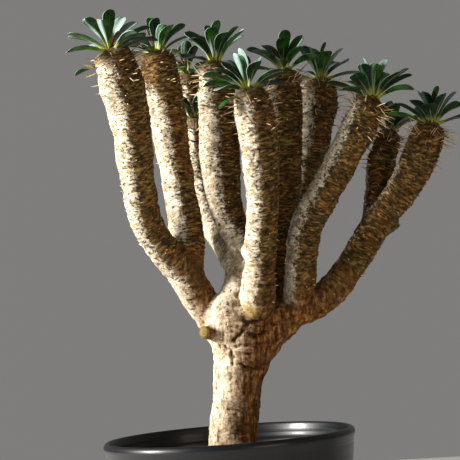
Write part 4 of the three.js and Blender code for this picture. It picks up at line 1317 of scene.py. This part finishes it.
# %% Thorns
# Thorns that the packed model leaves out: a collar under the leaves, slight ones, worn stubs, and a thin
# collar that only the branches on the right have.
SLIGHT = {"sunk": 0.4, "bend": 0.08, "play": (0.8, 1.25), "checked": [0.5, 1], "kinds": [
    {"count": 20, "drop": (-1.5, 8), "length": (7.0, 13.0), "radius": 0.42, "clear": 1.3, "lean": (0.30, 0.32)},
    {"count": 24, "drop": (4, 30), "length": (3.0, 7.5), "radius": 0.40, "clear": 2.2, "lean": (0.10, 0.30)},
    {"count": 46, "drop": (12, 150), "length": (0.9, 2.6), "radius": 0.50, "clear": 0, "lean": (0.05, 0.28)},
    {"count": 34, "drop": (-2.5, 7), "length": (7.0, 14.0), "radius": 0.30, "clear": 1.1, "lean": (0.05, 0.34)},
]}
BRISTLY = ("centre_right", "back_right", "right_front", "right_short", "right_outer")
LOWEST_THORN = 30


def stream_from(seed):
    """The numbers from 0 to 1 that the packed model's thorns follow."""
    while True:
        seed = seed * 16807 % 2147483647
        yield seed / 2147483647


def thorns():
    """The thorns of every branch: those of the packed model, then the slighter ones."""
    skins, draw, stream = [], np.random.default_rng(88), stream_from(THORN["seed"])
    for stem in stems.values():
        for i in range(THORN["count"]):
            turn, lift, short = (next(stream) for _ in range(3))
            drop = mix(THORN["first"], THORN["last"], (i / THORN["count"]) ** THORN["crowding"])
            centre, radius, along, outward = stem_at(stem, drop, i * GOLDEN + turn * THORN["bearing_play"])
            direction = unit(outward + along * THORN["lift"] * (lift * 2 - 1))
            length = mix(THORN["longest"], THORN["shortest"], drop / THORN["last"])
            length *= 1 - THORN["length_play"] * short
            root = centre + outward * radius * THORN["root"]
            if is_clear(root, direction, length, THORN, THORN["checked"]):
                bend = draw.normal(0, THORN["bend"], 3)
                skins.append(thorn_skin(root, direction, length, THORN["radius"], bend, draw.random()))
        for kind in SLIGHT["kinds"] if stem.name in BRISTLY else SLIGHT["kinds"][:-1]:
            for _ in range(kind["count"]):
                drop = min(draw.uniform(*kind["drop"]), stem.seat_run - LOWEST_THORN)
                centre, radius, along, outward = stem_at(stem, drop, draw.uniform(0, 2 * np.pi))
                direction = unit(outward + along * draw.normal(*kind["lean"]))
                length = draw.uniform(*kind["length"])
                root, bend = centre + outward * (radius - SLIGHT["sunk"]), draw.normal(0, SLIGHT["bend"], 3)
                thickness = kind["radius"] * draw.uniform(*SLIGHT["play"])
                if is_clear(root, direction, length, kind, SLIGHT["checked"]):
                    skins.append(thorn_skin(root, direction, length, thickness, bend, draw.random()))
    return skins


thorn_skins = thorns()
thorn_piece = add_mesh("thorns", thorn_skins)
print("thorns:", len(thorn_skins))

# %% [markdown]
# ## Thorn finish
#
# A young thorn is straw pale with a brown foot and tip, and an old one has weathered to a dull brown.
# One colour for all would make the collar look combed. Here each thorn carries a number of its own,
# which mixes the two, and its length gives the place on a ramp from foot to tip.

# %% Thorn colours
def thorn_finish():
    finish = Finish("thorn")
    along, tone = finish.carried("along"), finish.carried("tone")
    fine = finish.noise(finish.place(), 900.0, 3.0)
    fresh = finish.ramp(along, (0.0, 128, 92, 48), (0.3, 206, 178, 126), (0.8, 224, 202, 158),
                        (1.0, 120, 74, 42))
    weathered = finish.ramp(along, (0.0, 84, 62, 34), (0.5, 164, 136, 92), (1.0, 126, 98, 62))
    colour = finish.layers(fresh, (tone.between(0.3, 0.8), weathered), (fine * 0.35, (92, 64, 38)))
    return finish.finished(Base_Color=colour, Roughness=0.45 + 0.2 * fine, Normal=finish.bump(fine, 0.0002))


place_piece(thorn_piece, "bark", thorn_finish(), "trunk_and_branches")

# %% [markdown]
# ## The pot
#
# The pot was thrown on a wheel: it is round, its wall tapers down to a narrower foot, the rim is
# rounded, and the fingers left faint rings in the clay inside. A section turned about its axis makes
# it, as the wheel did, and the four drain holes are cut through the floor afterwards.

# %% Section of the pot
POT = {"height": 150, "rim": 90, "base": 75, "wall": 4.2, "floor": 6, "flare": 1.2, "flare_height": 3,
       "rim_drop": 4.2, "rounding": 3, "inner_ease": 1.2, "mouth_drop": 5, "bevel": 2, "sides": 168}
THROWN = {"depth": 0.28, "pitch": 4.6, "from": 8, "to": 143}


def between_points(points, step):
    """A line through points, cut into even short steps."""
    line = [points[0]]
    for start, end in zip(points, points[1:]):
        count = max(1, round(math.dist(start, end) / step))
        line += [tuple(mix(a, b, i / count) for a, b in zip(start, end)) for i in range(1, count + 1)]
    return line


def pot_section():
    """Half of the pot's outline, as radius and height, from the axis below to the axis above."""
    rim_z = POT["height"] - POT["rim_drop"]
    outside = between_points([
        (POT["base"] - POT["bevel"], 0), (POT["base"] - 0.6, 0.6), (POT["base"], POT["bevel"]),
        (POT["rim"] - POT["flare"], rim_z - POT["flare_height"]), (POT["rim"], rim_z)], 6)
    quarter = np.linspace(0, np.pi / 2, 9)[1:]
    lip = [(POT["rim"] - POT["rounding"] * (1 - math.cos(a)), rim_z + POT["rim_drop"] * math.sin(a))
           for a in quarter]
    edge = (POT["rim"] - POT["wall"], POT["height"] - POT["inner_ease"])
    inner = (POT["rim"] - POT["wall"] - POT["flare"], POT["height"] - POT["mouth_drop"])
    lip += [(mix(lip[-1][0], edge[0], 0.6), POT["height"] - 0.25), edge]
    down = between_points([edge, inner, (POT["base"] - POT["wall"], POT["floor"])], 0.8)[1:]
    down = [(r - THROWN["depth"] * (0.5 - 0.5 * math.cos(z / THROWN["pitch"] * 2 * math.pi
             + 1.3 * math.sin(z / 9))) * float(THROWN["from"] < z < THROWN["to"]), z) for r, z in down]
    return [(0, 0), *outside, *lip, *down, (30, POT["floor"]), (0.5, POT["floor"]), (0, POT["floor"])]


print("pot section points:", len(pot_section()))

# %% Pot wall and drain holes
DRAIN = {"count": 4, "radius": 7, "ring": 42}


def turned(name, section, sides):
    """A solid of revolution from a section that starts and ends on the axis."""
    section = np.array(section[1:-1])
    turns = once_round(sides)
    ring = np.stack([np.cos(turns), np.sin(turns), 0 * turns], axis=-1)
    rings = section[:, None, :1] * ring + section[:, None, 1:] * np.array([0, 0, 1.0])
    return add_mesh(name, [skin_over(rings)])


wall = turned("pot_wall", pot_section(), POT["sides"])
bores = []
for i in range(DRAIN["count"]):
    bore = turned(f"bore_{i}", [(0, -3), (DRAIN["radius"], -3), (DRAIN["radius"], 9), (0, 9)], 40)
    bearing = (i + 0.5) / DRAIN["count"] * 2 * np.pi
    bore.location = aim(bearing, 0) * DRAIN["ring"] * MM
    bores.append(bore)
pot = join_solids("glazed_pot", [wall, *bores], "DIFFERENCE")
print("drain holes:", len(bores))

# %% [markdown]
# ## Glaze
#
# The glaze is nearly black, a little blue where light falls on it, and satin rather than mirror
# bright. Its thickness varies with the turning of the pot, so gloss and colour follow faint rings.

# %% Glaze colours
def glaze_finish():
    finish = Finish("black_glaze")
    rings, cloud = finish.noise(finish.place(), (6.0, 6.0, 420.0), 3.0), finish.noise(finish.place(), 24.0, 4.0)
    tone = finish.blend((rings * 0.6 + cloud * 0.4).between(0.35, 0.7), (5, 5, 8), (13, 14, 20))
    height = finish.node("ShaderNodeSeparateXYZ", None, {0: finish.place()}, out="Z")
    foot = 1 - (height + (cloud - 0.5) * 0.008).between(0.001, 0.004)
    dust = finish.bump(finish.noise(finish.place(), 900.0, 2.0), 0.00004)
    return finish.finished(Base_Color=finish.blend(foot, tone, (38, 34, 32)), Coat_Weight=0.12,
                           Roughness=0.30 + 0.16 * rings + 0.25 * foot, Coat_Roughness=0.14,
                           Normal=finish.bump(rings, 0.0003, Normal=dust), Specular_IOR_Level=0.3)


place_piece(pot, "black_glaze", glaze_finish(), "pot")

# %% [markdown]
# ## Soil
#
# The mix is gritty: crumbs of baked clay and pumice, a few millimetres wide, over finer grit. A bumpy
# surface alone would show no crumbs standing free at the edge of the trunk, so a rough body fills the
# pot and nearly two thousand separate crumbs lie on it, each a small lump of its own shape. They are
# placed on an even spiral, with seeded changes, so they cover the surface without a pattern.

# %% Soil
SOIL = {"level": 128, "clear": 0.5, "crown": 2.5, "shape": 0.7, "grain": 0.9, "rings": 46, "sides": 120}
TRUNK_HOLE = 17.9


def inside_radius(z):
    """The pot's inner radius at a height."""
    return mix(POT["base"] - POT["wall"], POT["rim"] - POT["wall"] - POT["flare"],
               (z - POT["floor"]) / (POT["height"] - POT["mouth_drop"] - POT["floor"]))


SOIL_EDGE = inside_radius(SOIL["level"]) - SOIL["clear"]


def soil_height(x, y):
    """The soil's surface, a little higher at the trunk."""
    share = np.clip(np.hypot(x, y) / SOIL_EDGE, 0, 1)
    low = smooth_noise(np.stack([x, y, 0 * x], axis=-1), 9, 31)
    return (SOIL["level"] + SOIL["crown"] * (1 - share) ** SOIL["shape"] + 0.4 * low - 0.5
            + SOIL["grain"] * np.sin(0.9 * x) * np.cos(1.1 * y) * 0.6)


def soil_body():
    """A rough body that fills the pot."""
    bottom = POT["floor"] + 0.3
    turns = once_round(SOIL["sides"])
    radii = np.concatenate([[0.4, inside_radius(bottom) - SOIL["clear"], SOIL_EDGE],
                            np.linspace(SOIL_EDGE - 0.3, 0.4, SOIL["rings"])])
    x, y = radii[:, None] * np.cos(turns), radii[:, None] * np.sin(turns)
    z = soil_height(x, y)
    z[:2] = bottom
    z[2] -= 1.0
    return add_mesh("soil_body", [skin_over(np.stack([x, y, z], axis=-1), tone=0.1, grit=0.0)])


def trunk_hole():
    """The hole that the trunk stands in."""
    rays, _ = rays_of(trunk, SKIN["sides"])
    rings = trunk.centres[:, None] + rays * (trunk.radii[:, None, None] + 1.2)
    return add_mesh("trunk_hole", [skin_over(rings - np.array([0, 0, 0.3]), tone=0.1, grit=0.0)])


soil = join_solids("soil_bed", [soil_body(), trunk_hole()], "DIFFERENCE")
print("the soil meets the wall at a radius of", SOIL_EDGE, "mm")

# %% Crumbs
CRUMB = {"count": 1900, "radius": (1.0, 2.5), "sides": 8, "rows": 5, "bury": 0.35, "lump": (0.78, 1.18),
         "flat": 0.8}


def crumb_skin(place, radius, draw):
    """A small lump: a rounded body, each of its points pushed in or out."""
    rows = np.linspace(-1, 1, CRUMB["rows"] + 2)[1:-1, None] * 0.92
    turns = once_round(CRUMB["sides"])
    ring = np.sqrt(1 - rows**2)
    body = np.stack([ring * np.cos(turns), ring * np.sin(turns), rows + 0 * turns], axis=-1)
    body *= radius * draw.uniform(*CRUMB["lump"], body.shape[:2])[..., None]
    turn = Matrix.Rotation(draw.uniform(0, 6.28), 3, Vector(draw.normal(size=3)))
    body = body @ np.array(turn).T * np.array([1, 1, CRUMB["flat"]]) + place
    return skin_over(body, tone=draw.random(), grit=1.0)


def crumbs():
    """Crumbs on an even spiral between the trunk and the wall."""
    draw, found = np.random.default_rng(64), []
    for i in range(CRUMB["count"]):
        radius = mix(*CRUMB["radius"], draw.random() ** 1.6)
        far = math.sqrt(mix((TRUNK_HOLE / SOIL_EDGE) ** 2, 1, (i + 0.5) / CRUMB["count"])) * SOIL_EDGE
        bearing = i * GOLDEN + draw.normal(0, 0.03)
        far = min(far + draw.normal(0, 0.8), SOIL_EDGE - radius * 0.95)
        x, y = far * math.cos(bearing), far * math.sin(bearing)
        if math.hypot(x - 1, y) > TRUNK_HOLE + radius * 0.5:
            lift = radius * (0.8 - CRUMB["bury"] * draw.random() * 2)
            place = np.array([x, y, soil_height(np.array([x]), np.array([y]))[0] + lift])
            found.append(crumb_skin(place, radius, draw))
    return found


crumb_skins = crumbs()
crumb_piece = add_mesh("soil_crumbs", crumb_skins)
print("crumbs:", len(crumb_skins))

# %% [markdown]
# ## Soil finish
#
# Pumice is pale and baked clay is rusty, and both are dull and dusty. Each crumb carries a number, which
# picks its colour from a ramp, so neighbours differ as they do in a real mix. The bed under them is
# darker, since it is in their shade and damp. A picture of soil would repeat.

# %% Soil colours
def soil_finish():
    finish = Finish("gritty_soil")
    fine, coarse = finish.noise(finish.place(), 700.0, 4.0, 0.7), finish.noise(finish.place(), 160.0, 3.0)
    crumb = finish.ramp(finish.carried("tone"), (0.0, 58, 44, 32), (0.3, 96, 68, 44), (0.5, 132, 92, 58),
                        (0.68, 88, 80, 70), (0.8, 168, 156, 134), (0.95, 196, 186, 164))
    bed = finish.blend(coarse.between(0.35, 0.65), (40, 30, 22), (78, 58, 40))
    colour = finish.layers(bed, (finish.carried("grit"), crumb), (fine.between(0.45, 0.75) * 0.5, (36, 26, 18)))
    return finish.finished(Base_Color=colour, Roughness=0.86 + 0.12 * fine, Normal=finish.bump(fine, 0.0008))


SOIL_EARTH = soil_finish()
place_piece(soil, "gritty_soil", SOIL_EARTH, "potting_soil")
place_piece(crumb_piece, "gritty_soil", SOIL_EARTH, "potting_soil")

# %% [markdown]
# ## Sizes at the end
#
# The finer pieces may stand out of the packed model a little, since bark has relief and thorns are
# sharp.
